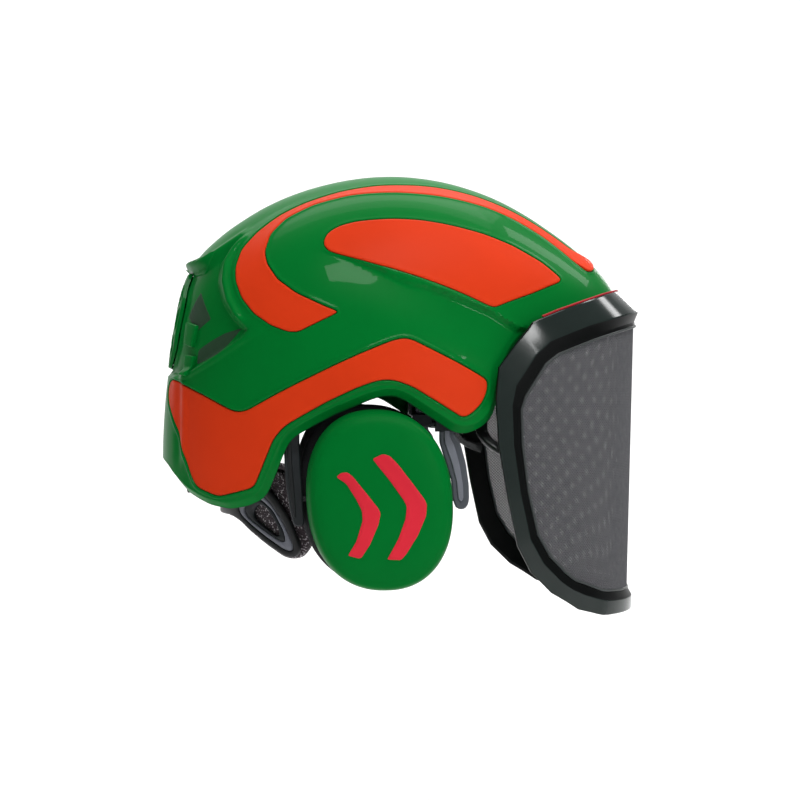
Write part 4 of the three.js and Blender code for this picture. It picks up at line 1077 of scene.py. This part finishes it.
# ------------------------------------------------------------------ swept bars and plates
def sweep_bar(name, path, sizes, mat, body, up=(0, 0, 1), corner=0.35, closed_ends=True, replaces=(), angle=40, n=16, step=2.0):
    """A bar of rounded-rectangle section along a smooth path. sizes: (width across `side`, thickness) at each path point."""
    path = np.array(path, float)
    sizes = np.array(sizes, float)
    t = np.linspace(0, 1, len(path))
    # Catmull-Rom through the points
    fine = np.linspace(0, len(path) - 1, max(12, int(np.linalg.norm(np.diff(path, axis=0), axis=1).sum() / step)))
    P, S = [], []
    for u in fine:
        i = min(int(u), len(path) - 2)
        f = u - i
        g = lambda arr, k: arr[min(max(i + k, 0), len(arr) - 1)]
        for arr, out in ((path, P), (sizes, S)):
            a, b, c, d = g(arr, -1), g(arr, 0), g(arr, 1), g(arr, 2)
            out.append(0.5 * (2 * b + (c - a) * f + (2 * a - 5 * b + 4 * c - d) * f ** 2 + (3 * b - a - 3 * c + d) * f ** 3))
    P, S = np.array(P), np.array(S)
    T = np.gradient(P, axis=0)
    T /= np.linalg.norm(T, axis=1, keepdims=True)
    rows = []
    for p, tt, sz in zip(P, T, S):
        side = np.cross(up, tt)
        side /= np.linalg.norm(side)
        nn = np.cross(tt, side)
        row = []
        for a in np.linspace(0, 2 * math.pi, n, endpoint=False):
            ca, sa = math.cos(a), math.sin(a)
            e = corner
            row.append(p + side * math.copysign(abs(ca) ** e, ca) * sz[0] / 2 + nn * math.copysign(abs(sa) ** e, sa) * sz[1] / 2)
        rows.append(row)
    rows = np.array(rows)
    m = len(rows)
    faces = [(i * n + j, i * n + (j + 1) % n, (i + 1) * n + (j + 1) % n, (i + 1) * n + j) for i in range(m - 1) for j in range(n)]
    faces += [tuple(range(n)), tuple((m - 1) * n + j for j in range(n))]
    return new_object(name, rows.reshape(-1, 3), faces, [mat], body=body, replaces=replaces, smooth_angle=angle)


def plate(name, outline, y0, y1, mat, body, bevel=1.0, cut=1.5, holes=(), replaces=(), segments=3, angle=40):
    """A flat plate: an outline in the side view, given thickness along Y, with rounded edges."""
    o = resample(rounded(outline, cut, 3), 1.6)
    if area2(o) < 0:
        o = o[::-1]
    me = bpy.data.meshes.new(name)
    bm = bmesh.new()
    vs = [bm.verts.new((p[0] * MM, y0 * MM, p[1] * MM)) for p in o]
    f = bm.faces.new(vs)
    r = bmesh.ops.extrude_face_region(bm, geom=[f])
    bmesh.ops.translate(bm, verts=[g for g in r["geom"] if isinstance(g, bmesh.types.BMVert)], vec=(0, (y1 - y0) * MM, 0))
    bmesh.ops.recalc_face_normals(bm, faces=bm.faces)
    bm.to_mesh(me)
    bm.free()
    me.materials.append(mat)
    me.polygons.foreach_set("use_smooth", np.ones(len(me.polygons), bool))
    me.set_sharp_from_angle(angle=math.radians(60))
    ob = bpy.data.objects.new(name, me)
    bpy.context.scene.collection.objects.link(ob)
    if bevel:
        b = ob.modifiers.new("edge", "BEVEL")
        b.width = bevel * MM
        b.segments = segments
        b.limit_method = "ANGLE"
        b.angle_limit = math.radians(50)
        b.harden_normals = False
    finish_piece(ob, body, replaces)
    return ob


for sgn, side in ((1, "right"), (-1, "left")):
    path = [(56, -75.8, 44), (54.5, -75.8, 24), (53.5, -75.8, 4), (53.4, -76.2, -8), (54, -79, -18), (57, -84, -23.5),
            (62, -87.6, -27.5), (68, -89.4, -30.6), (74, -89.8, -32.5)]
    sizes = [(2.6, 10), (2.6, 10.5), (2.6, 10), (2.8, 9), (3.6, 7), (4.4, 5.6), (4.2, 5.2), (3.2, 6), (2.4, 7)]
    path = [(x, y * sgn, z) for x, y, z in path]
    bar = sweep_bar(f"visor_link_{side}", path, sizes, ARM_DARK, "visor", up=(1, 0, 0), corner=0.5, replaces=[f"visor_arm_{side}"], n=20, step=1.6)

# ------------------------------------------------------------------ earmuffs
CX, CZ, CA, CB = -6.0, -56.0, 41.0, 50.7
CUP_PROFILE = np.array([
    (0, -118.0), (0.25, -117.95), (0.5, -117.55), (0.66, -117.0), (0.78, -116.2), (0.85, -115.3), (0.885, -114.6), (0.9, -114.15),
    (0.908, -113.75), (0.92, -113.5), (0.945, -112.3), (0.966, -110.2), (0.982, -107.4), (0.994, -104), (1.0, -100.5), (1.0, -97),
    (0.998, -93.5), (0.985, -92.9), (0.985, -92.2), (0.996, -91.6), (0.993, -88.6), (0.98, -87), (0.955, -86.3), (0.9, -86.3),
    (0.88, -97), (0.8, -108), (0.5, -113.4), (0, -114.6)])


def oval(f, n=120, dx=0.0, dz=0.0, grow=0.0):
    t = np.linspace(0, 2 * math.pi, n, endpoint=False)
    c, s = np.cos(t), np.sin(t)
    e = 2 / 2.25
    px = (CA * f + grow) * np.sign(c) * np.abs(c) ** e
    pz = (CB * f + grow) * np.sign(s) * np.abs(s) ** e
    return np.c_[CX + px - 0.055 * pz + dx, CZ + pz + dz]


def cup_front(xz, lift_by=0.0):
    pz = xz[:, 1] - CZ
    px = xz[:, 0] - CX + 0.055 * pz
    f = ((np.abs(px) / CA) ** 2.25 + (np.abs(pz) / CB) ** 2.25) ** (1 / 2.25)
    y = np.interp(f, CUP_PROFILE[:14, 0], CUP_PROFILE[:14, 1])
    return np.c_[xz[:, 0], y - lift_by, xz[:, 1]]


def revolve(name, profile, mats, body, sgn, mat_of=None, n=120, replaces=(), angle=30, dx=0.0, dz=0.0):
    verts, faces, mi, rows = [], [], [], []
    for f, y, *g in profile:
        grow = g[0] if g else 0.0
        if f == 0 and not g:
            rows.append([len(verts)])
            verts.append((CX + dx, y * sgn, CZ + dz))
        else:
            o = oval(f, n, dx, dz, grow)
            rows.append(list(range(len(verts), len(verts) + n)))
            verts += [(q[0], y * sgn, q[1]) for q in o]
    for i in range(len(rows) - 1):
        a, b = rows[i], rows[i + 1]
        for j in range(n):
            k = (j + 1) % n
            if len(a) == 1:
                faces.append((a[0], b[j], b[k]))
            elif len(b) == 1:
                faces.append((a[j], b[0], a[k]))
            else:
                faces.append((a[j], b[j], b[k], a[k]))
            mi.append(mat_of(i) if mat_of else 0)
    return new_object(name, verts, faces, mats, mat_index=mi, body=body, replaces=replaces, smooth_angle=angle)


CHEVRON_LARGE = [[-11.1, -32.3], [-5.3, -29.6], [-1.4, -30.7], [3.2, -35.4], [10.9, -45.4], [17.9, -54.7], [19.2, -57.8], [18.7, -64],
                 [14.1, -74.8], [7.8, -84.9], [4.8, -88.3], [-3, -87.9], [3.2, -76.4], [7.1, -65.5], [7.8, -58.6], [6.3, -55.5],
                 [-1.4, -44.6], [-7.6, -36.9]]
CHEVRON_SMALL = [[-31, -42.3], [-28.5, -40], [-24.6, -39.6], [-21.5, -42.3], [-14.6, -50.8], [-7.6, -59.7], [-6.4, -62.4], [-7.6, -68.6],
                 [-12.2, -79.5], [-16.9, -86.8], [-18.4, -87.3], [-24.6, -85.6], [-20, -77.9], [-16.5, -66.3], [-16.9, -60.9],
                 [-20, -54.7], [-25.4, -46.2]]


def shrink(o, d):
    t = np.roll(o, -1, 0) - np.roll(o, 1, 0)
    t /= np.linalg.norm(t, axis=1, keepdims=True)
    return o - np.stack([t[:, 1], -t[:, 0]], -1) * d


def chevron(name, outline, sgn, side, node):
    o = resample(rounded(outline, 1.0, 3), 0.7)
    if area2(o) < 0:
        o = o[::-1]
    loops = [(o, -0.6, True), (shrink(o, 0.12), 0.35, True), (shrink(o, 0.6), 0.6, True)]
    g = hexgrid(o[:, 0].min(), o[:, 0].max(), o[:, 1].min(), o[:, 1].max(), 1.6)

    def base(v2):
        p = cup_front(v2)
        n = np.zeros_like(p)
        n[:, 1] = -1
        return p, n

    p, n, h, tri, v2 = patch(o, loops, g[inside(g, shrink(o, 1.2))], lambda q: np.zeros(len(q)), base, spacing=1.4)
    h = np.where(np.abs(h) < 1e-9, 0.62, h)
    v, tri, _ = compact(p + n * h[:, None], tri)
    v[:, 1] *= sgn
    new_object(name, v, tri if sgn > 0 else tri[:, ::-1], [CORAL], body=f"{side}_muff_cup", replaces=[node], smooth_angle=40)


LEG_FRONT = [[28.7, 8], [37.3, 8], [37.3, -19.5], [40.6, -24], [43.9, -36], [45.6, -48], [45.8, -57], [44.6, -61], [42, -62.6], [38.2, -61.6], [36.2, -56],
             [35.6, -46], [32.5, -36], [28.7, -24]]
LEG_REAR = [[-59.3, 8], [-50.7, 8], [-50.7, -24], [-49.9, -40], [-48.9, -52], [-48.6, -60], [-47.8, -69], [-48.6, -71.6], [-54, -71.4],
            [-56.2, -62], [-58.2, -50], [-59.3, -36]]
for sgn, side in ((1, "right"), (-1, "left")):
    cup = f"{side}_muff_cup"
    shell_cup = revolve(f"cup_shell_{side}", CUP_PROFILE, [CUP_GREEN, BLACK], cup, sgn, mat_of=lambda i: 1 if i >= 22 else 0,
                        replaces=[f"ear_cup_{side}"], angle=28)
    # trunnion pins that carry the cup between its legs
    for x0, x1, tag in ((30, 44.9, "front"), (-57, -42, "rear")):
        pts = []
        n = 20
        prof = [(x0, 0.01), (x0, 1.55), (x1 - 0.5, 1.55), (x1, 1.1), (x1, 0.01)] if tag == "front" else [(x1, 0.01), (x1, 1.55), (x0 + 0.5, 1.55), (x0, 1.1), (x0, 0.01)]
        vv, ff = [], []
        for x, r in prof:
            for a in np.linspace(0, 2 * math.pi, n, endpoint=False):
                vv.append((x, (-86.5 + r * math.cos(a)) * sgn, -56 + r * math.sin(a)))
        for i in range(len(prof) - 1):
            for j in range(n):
                ff.append((i * n + j, i * n + (j + 1) % n, (i + 1) * n + (j + 1) % n, (i + 1) * n + j))
        new_object(f"cup_pin_{tag}_{side}", vv, ff, [BLACK], body=cup, smooth_angle=40)
    chevron(f"chevron_face_large_{side}", CHEVRON_LARGE, sgn, side, f"chevron_large_{side}")
    chevron(f"chevron_face_small_{side}", CHEVRON_SMALL, sgn, side, f"chevron_small_{side}")
    # ear cushion: a soft ring with a welted seam
    prof = [(1, -83.9, -1.6), (1, -82.6, 0.1), (1, -80.5, 0.7), (1, -78.6, 0.5), (1, -78.0, -0.1), (1, -77.4, 0.3), (1, -75.2, -0.4), (1, -73.2, -2.2),
            (1, -71.9, -5.0), (1, -71.7, -7.8), (1, -72.6, -10.8), (1, -74.8, -13.2), (1, -78, -14.4), (1, -83.9, -14.6), (1, -83.9, -1.6)]
    cushion = revolve(f"ear_cushion_soft_{side}", prof, [SOFT_BLACK], cup, sgn, n=140, replaces=[f"ear_cushion_{side}"], angle=70, dx=-3.4, dz=2.2)
    me = cushion.data
    for v in me.vertices:  # fine creases where the skin is gathered round the ring
        a = math.atan2(v.co.z / MM - CZ, v.co.x / MM - CX)
        depth = abs(v.co.y) / MM
        k = max(0.0, 1 - abs(depth - 75.5) / 6)
        r = 0.22 * k * (math.sin(a * 34 + 1.3 * math.sin(a * 5)) + 0.6 * math.sin(a * 61 + 2.0))
        v.co.y += sgn * r * MM * 0.9
    legs = f"{side}_muff_legs"
    y0, y1 = (-88.4, -85.2) if sgn > 0 else (85.2, 88.4)
    plate(f"leg_bar_front_{side}", LEG_FRONT, y0, y1, LEG_GREY, legs, bevel=0.9, replaces=[f"muff_leg_front_{side}"])
    rib = [[31.5, 6], [34.5, 6], [34.5, -21], [37.2, -26], [40.2, -37], [42, -48], [42.4, -56], [41, -58.4], [39.4, -56.5], [38.6, -47], [35.5, -35], [31.5, -24]]
    plate(f"leg_rib_front_{side}", rib, -89.3 if sgn > 0 else 88.3, -88.3 if sgn > 0 else 89.3, CRADLE, legs, bevel=0.4)
    plate(f"leg_bar_rear_{side}", LEG_REAR, y0, y1, LEG_DARK, legs, bevel=0.9, replaces=[f"muff_leg_rear_{side}"])
    rib = [[-57.5, 6], [-55.5, 6], [-55.5, -24], [-54.6, -40], [-53.4, -54], [-52.6, -66], [-54, -67.5], [-55, -61], [-56.6, -50], [-57.5, -36]]
    plate(f"leg_rib_rear_{side}", rib, -89.2 if sgn > 0 else 88.3, -88.3 if sgn > 0 else 89.2, BLACK, legs, bevel=0.4)

# ------------------------------------------------------------------ nape cradle and pad
def nape_table(a, b):
    t = np.linspace(math.pi, math.pi * 0.42, 700)
    p = np.c_[-14 + a * np.cos(t), -b * np.sin(t)]
    s = np.concatenate([[0], np.cumsum(np.linalg.norm(np.diff(p, axis=0), axis=1))])
    return t, p, s


def wall_plate(name, a, b, outline, holes, thick, mats, body, bevel=0.8, height=0.0, replaces=(), step=1.4, cut=2.5, bulge=0.0,
               angle=40, one_side=False, grid_step=3.0):
    """A plate bent round the nape. outline and holes are drawn in the side view (x, z) and mirrored to the other side."""
    tt, pp, ss = nape_table(a, b)

    def to_u(xz):
        xz = np.array(xz, float)
        x = np.clip(xz[:, 0], -14 - a, 20)
        o = np.argsort(pp[:, 0])
        return np.c_[np.interp(x, pp[o, 0], ss[o]), xz[:, 1]]

    def base(v2):
        u = np.abs(v2[:, 0])
        t = np.interp(u, ss, tt)
        n = np.c_[np.cos(t) / a, -np.sin(t) / b, np.zeros(len(t))]
        n /= np.linalg.norm(n, axis=1, keepdims=True)
        p = np.c_[-14 + a * np.cos(t), -b * np.sin(t), v2[:, 1]]
        s = np.where(v2[:, 0] < 0, -1, 1)
        p[:, 1] *= s
        n[:, 1] *= s
        return p, n

    def prepare(xz, closed_across):
        q = to_u(rounded(xz, cut, 4, closed=not closed_across))
        if closed_across:
            q = q[q[:, 0] > 0.3]
            q = np.vstack([[0, q[0, 1]], q, [0, q[-1, 1]]])
            q = np.vstack([q, np.c_[-q[1:-1][::-1, 0], q[1:-1][::-1, 1]]])
        if area2(q) < 0:
            q = q[::-1]
        return resample(q, step)

    outer = prepare(outline, not one_side)
    hole_loops = []
    for h in holes:
        q = prepare(h, False)
        hole_loops.append(q)
        if not one_side:
            m = np.c_[-q[::-1, 0], q[::-1, 1]]
            hole_loops.append(m if area2(m) > 0 else m[::-1])
    lo, hi = outer.min(0), outer.max(0)
    grid = hexgrid(lo[0], hi[0], lo[1], hi[1], grid_step)
    loops_f = [(outer, -bevel, True), (shrink(outer, bevel * 0.45), -bevel * 0.25, True), (shrink(outer, bevel * 1.1), 0.0, True)]
    for h in hole_loops:
        loops_f += [(h, -bevel, True), (shrink(h, -bevel * 0.45), -bevel * 0.25, True), (shrink(h, -bevel * 1.1), 0.0, True)]
    core = inside(grid, shrink(outer, bevel * 1.3))
    for h in hole_loops:
        core &= ~inside(grid, shrink(h, -bevel * 1.3))
    p, n, hh, tri, v2 = patch(outer, loops_f, grid[core], lambda q: np.zeros(len(q)), base, drop=hole_loops, spacing=step)
    if bulge:
        d, _ = seg_distance(np.c_[v2, np.zeros(len(v2))], np.vstack([np.c_[outer, np.zeros(len(outer))], [[*outer[0], 0]]]))
        hh = hh + bulge * smooth(0, 9, d)
    front = p + n * (hh + height)[:, None]
    fv, ft, _ = compact(front, tri)
    p, n, hb, tri, v2 = patch(outer, [(outer, -thick, True)] + [(h, -thick, True) for h in hole_loops], grid[core], lambda q: np.zeros(len(q)), base,
                              drop=hole_loops, spacing=step)
    hb = np.where(np.abs(hb) < 1e-9, -thick, hb)
    back = p + n * (hb + height)[:, None]
    bv, bt, _ = compact(back, tri)
    verts, faces = [fv, bv], [tuple(f) for f in ft] + [tuple(f[::-1] + len(fv)) for f in bt]
    k0 = len(fv) + len(bv)
    for loop in [outer] + hole_loops:
        p, n = base(loop)
        m = len(loop)
        verts += [p + n * (height - bevel), p + n * (height - thick)]
        faces += [(k0 + i, k0 + (i + 1) % m, k0 + m + (i + 1) % m, k0 + m + i) for i in range(m)]
        k0 += 2 * m
    return new_object(name, np.vstack(verts), faces, mats, body=body, replaces=replaces, smooth_angle=angle)


CRADLE_LINE = [[-106, -31.3], [-94, -32.3], [-86, -38], [-76, -46], [-66, -55], [-57, -68], [-50.5, -84], [-51, -89], [-55, -91.5],
               [-61, -90], [-88, -70], [-106, -64]]
RIM_IN = [[-88, -45], [-76, -52], [-67.5, -60], [-60, -71.5], [-54.2, -84.5], [-55, -88], [-60.5, -86.5], [-86, -67.5]]
WINDOW_IN = [[-78, -57.5], [-73, -58.2], [-66, -64.5], [-60, -76], [-58.6, -82], [-61, -82.5], [-68, -78.5], [-82, -68.5], [-84, -63]]
WINDOW_HOLE = [[-75, -61], [-70.5, -62.2], [-64.2, -71.5], [-61.8, -79], [-64, -79.2], [-76, -70.5], [-78, -66]]
# dark outer frame, a grey face set into it, and round the window a dark recessed piece whose dark colour is painted
# shade of the recess
wall_plate("cradle_frame", 84.5, 76, CRADLE_LINE, [RIM_IN], 2.9, [CRADLE_RIM], "nape", bevel=0.9, replaces=["nape_cradle"], cut=4.5)
wall_plate("cradle_face", 84.0, 75.5, [[x, z] for x, z in RIM_IN], [WINDOW_IN], 2.0, [CRADLE], "nape", bevel=0.7, cut=3, one_side=True)
wall_plate("cradle_window", 83.2, 74.7, WINDOW_IN, [WINDOW_HOLE], 1.6, [LEG_DARK], "nape", bevel=0.6, cut=2.2, one_side=True)
for nm in ("cradle_face", "cradle_window"):
    src = bpy.data.objects[nm]
    me = src.data.copy()
    for v in me.vertices:
        v.co.y *= -1
    me.flip_normals()
    o = bpy.data.objects.new(nm + "_left", me)
    bpy.context.scene.collection.objects.link(o)
    finish_piece(o, "nape")
PAD_LINE = [[-106, -38.4], [-88, -38.8], [-63, -40.6], [-58.5, -43], [-50, -64], [-44.5, -75], [-44.5, -85], [-51, -92.5], [-60, -92],
            [-88, -71.5], [-106, -65.5]]
pad = wall_plate("nape_pad_soft", 80.6, 72.1, PAD_LINE, [], 5.4, [FABRIC], "nape", bevel=2.0, replaces=["nape_pad"], cut=4, angle=80,
                 grid_step=2.4)


# ------------------------------------------------------------------ CAD pieces that keep their shape
def assign(names, mat):
    for n in names:
        o = frame["nodes"].get(n)
        if o is None:
            continue
        for s in o.material_slots:
            s.material = mat


assign(["shock_liner"], EPS)
assign(["crown_pad", "sweatband"], FABRIC)
assign(["headband", "nape_strap_right", "nape_strap_left"], BLACK)
assign(["hanger_front_right", "hanger_front_left", "hanger_rear_right", "hanger_rear_left", "strap_sleeve_right", "strap_sleeve_left"], LEG_DARK)
assign(["visor_pivot_right", "visor_pivot_left", "adjuster_housing", "size_knob"], BLACK)
assign(["adjuster_pinion"], CRADLE)
for s in ("right", "left"):
    assign([f"muff_bracket_front_{s}", f"muff_bracket_rear_{s}"], BLACK)
    assign([f"muff_block_front_{s}", f"muff_block_rear_{s}"], LEG_DARK)
    assign([f"cup_plate_{s}"], BLACK)
    assign([f"cup_foam_{s}"], FOAM)

# ------------------------------------------------------------------ studio
def stage_and_lights():
    scene = bpy.context.scene
    scene.view_settings.view_transform = "Standard"
    scene.view_settings.look = "None"
    world = bpy.data.worlds.new("studio")
    scene.world = world
    world.use_nodes = True
    bg = world.node_tree.nodes["Background"]
    bg.inputs["Color"].default_value = (1, 1, 1, 1)
    bg.inputs["Strength"].default_value = 0.19
    # floor that curves up into a back wall
    prof = [(-3.5, 0.0), (1.2, 0.0)]
    for k in range(1, 13):
        a = math.pi / 2 * k / 12
        prof.append((1.2 + 1.2 * math.sin(a), 1.2 - 1.2 * math.cos(a)))
    prof.append((2.4, 4.0))
    vs, fs = [], []
    for y, z in prof:
        vs += [(-4.5, y, z), (4.5, y, z)]
    for i in range(len(prof) - 1):
        fs.append((2 * i, 2 * i + 1, 2 * i + 3, 2 * i + 2))
    me = bpy.data.meshes.new("floor")
    floor_z = cad_box[0][2] - 0.14
    me.from_pydata([(x, y, z + floor_z) for x, y, z in vs], [], fs)
    me.polygons.foreach_set("use_smooth", [True] * len(fs))
    fm = bpy.data.materials.new("pale_floor")
    fm.use_nodes = True
    b = fm.node_tree.nodes["Principled BSDF"]
    b.inputs["Base Color"].default_value = (0.93, 0.93, 0.93, 1)
    b.inputs["Roughness"].default_value = 0.9
    b.inputs["Specular IOR Level"].default_value = 0.1
    me.materials.append(fm)
    floor = bpy.data.objects.new("floor", me)
    scene.collection.objects.link(floor)

    def area(name, loc, target, size, power, size_y=None):
        l = bpy.data.lights.new(name, "AREA")
        l.energy = power
        l.shape = "RECTANGLE"
        l.size = size
        l.size_y = size_y or size
        o = bpy.data.objects.new(name, l)
        o.location = loc
        o.rotation_euler = (Vector(target) - Vector(loc)).to_track_quat("-Z", "Y").to_euler()
        scene.collection.objects.link(o)
        return o

    cam_at = np.array([0.0124 + 1.049 * math.sin(math.radians(-4)), -1.049 * math.cos(math.radians(-4)), 0.0])

    def mirror_light(name, p, n, size, power, size_y=None, dist=1.3):
        """A soft box placed where the surface at p (mm) shows its reflection to the camera."""
        p = np.array(p, float) * MM
        v = p - cam_at
        v /= np.linalg.norm(v)
        n = np.array(n, float)
        r = v - 2 * (v @ n) * n
        return area(name, tuple(p + r * dist), tuple(p), size, power, size_y)

    area("key_top", (0.75, -0.7, 1.45), (0, 0, 0), 0.8, 7.6)
    area("fill_side", (0.9, -1.8, 0.3), (0, 0, 0.0), 0.7, 0.5)
    area("back_wall", (0, 0.9, 2.6), (0, 2.3, 0.3), 3.0, 36, 1.6)
    area("floor_wash", (0.0, 1.0, 1.7), (0, 1.0, -0.27), 2.2, 29, 1.2)
    q = lift([[-4.0, 80.0]])
    mirror_light("window_1", q[0], normals(q)[0], 0.75, 8, 0.2, 1.2)
    q = lift([[104.0, 82.0]])
    mirror_light("window_2", q[0], normals(q)[0], 0.2, 3.5, 0.45, 1.2)
    i = TOP_END + 1
    p = (ST_O[i] + ST_N[i]) / 2
    mirror_light("window_3", p, ST_M[i], 0.17, 2.6, 0.17, 1.2)
    i = int(np.argmin(np.abs((ST_O[:TOP_END, 0] + ST_N[:TOP_END, 0]) / 2 - 148)))
    mirror_light("window_4", (ST_O[i] + ST_N[i]) / 2, ST_M[i], 0.055, 0.75, 0.4, 1.2)

    cam = bpy.data.cameras.new("camera")
    cam.sensor_width = 36
    cam.lens = 76.14
    co = bpy.data.objects.new("camera", cam)
    a = math.radians(-4)
    D = 1.049
    co.location = (0.0124 + D * math.sin(a), -D * math.cos(a), 0)
    co.rotation_euler = (math.pi / 2, 0, a)
    scene.collection.objects.link(co)
    scene.camera = co


stage_and_lights()
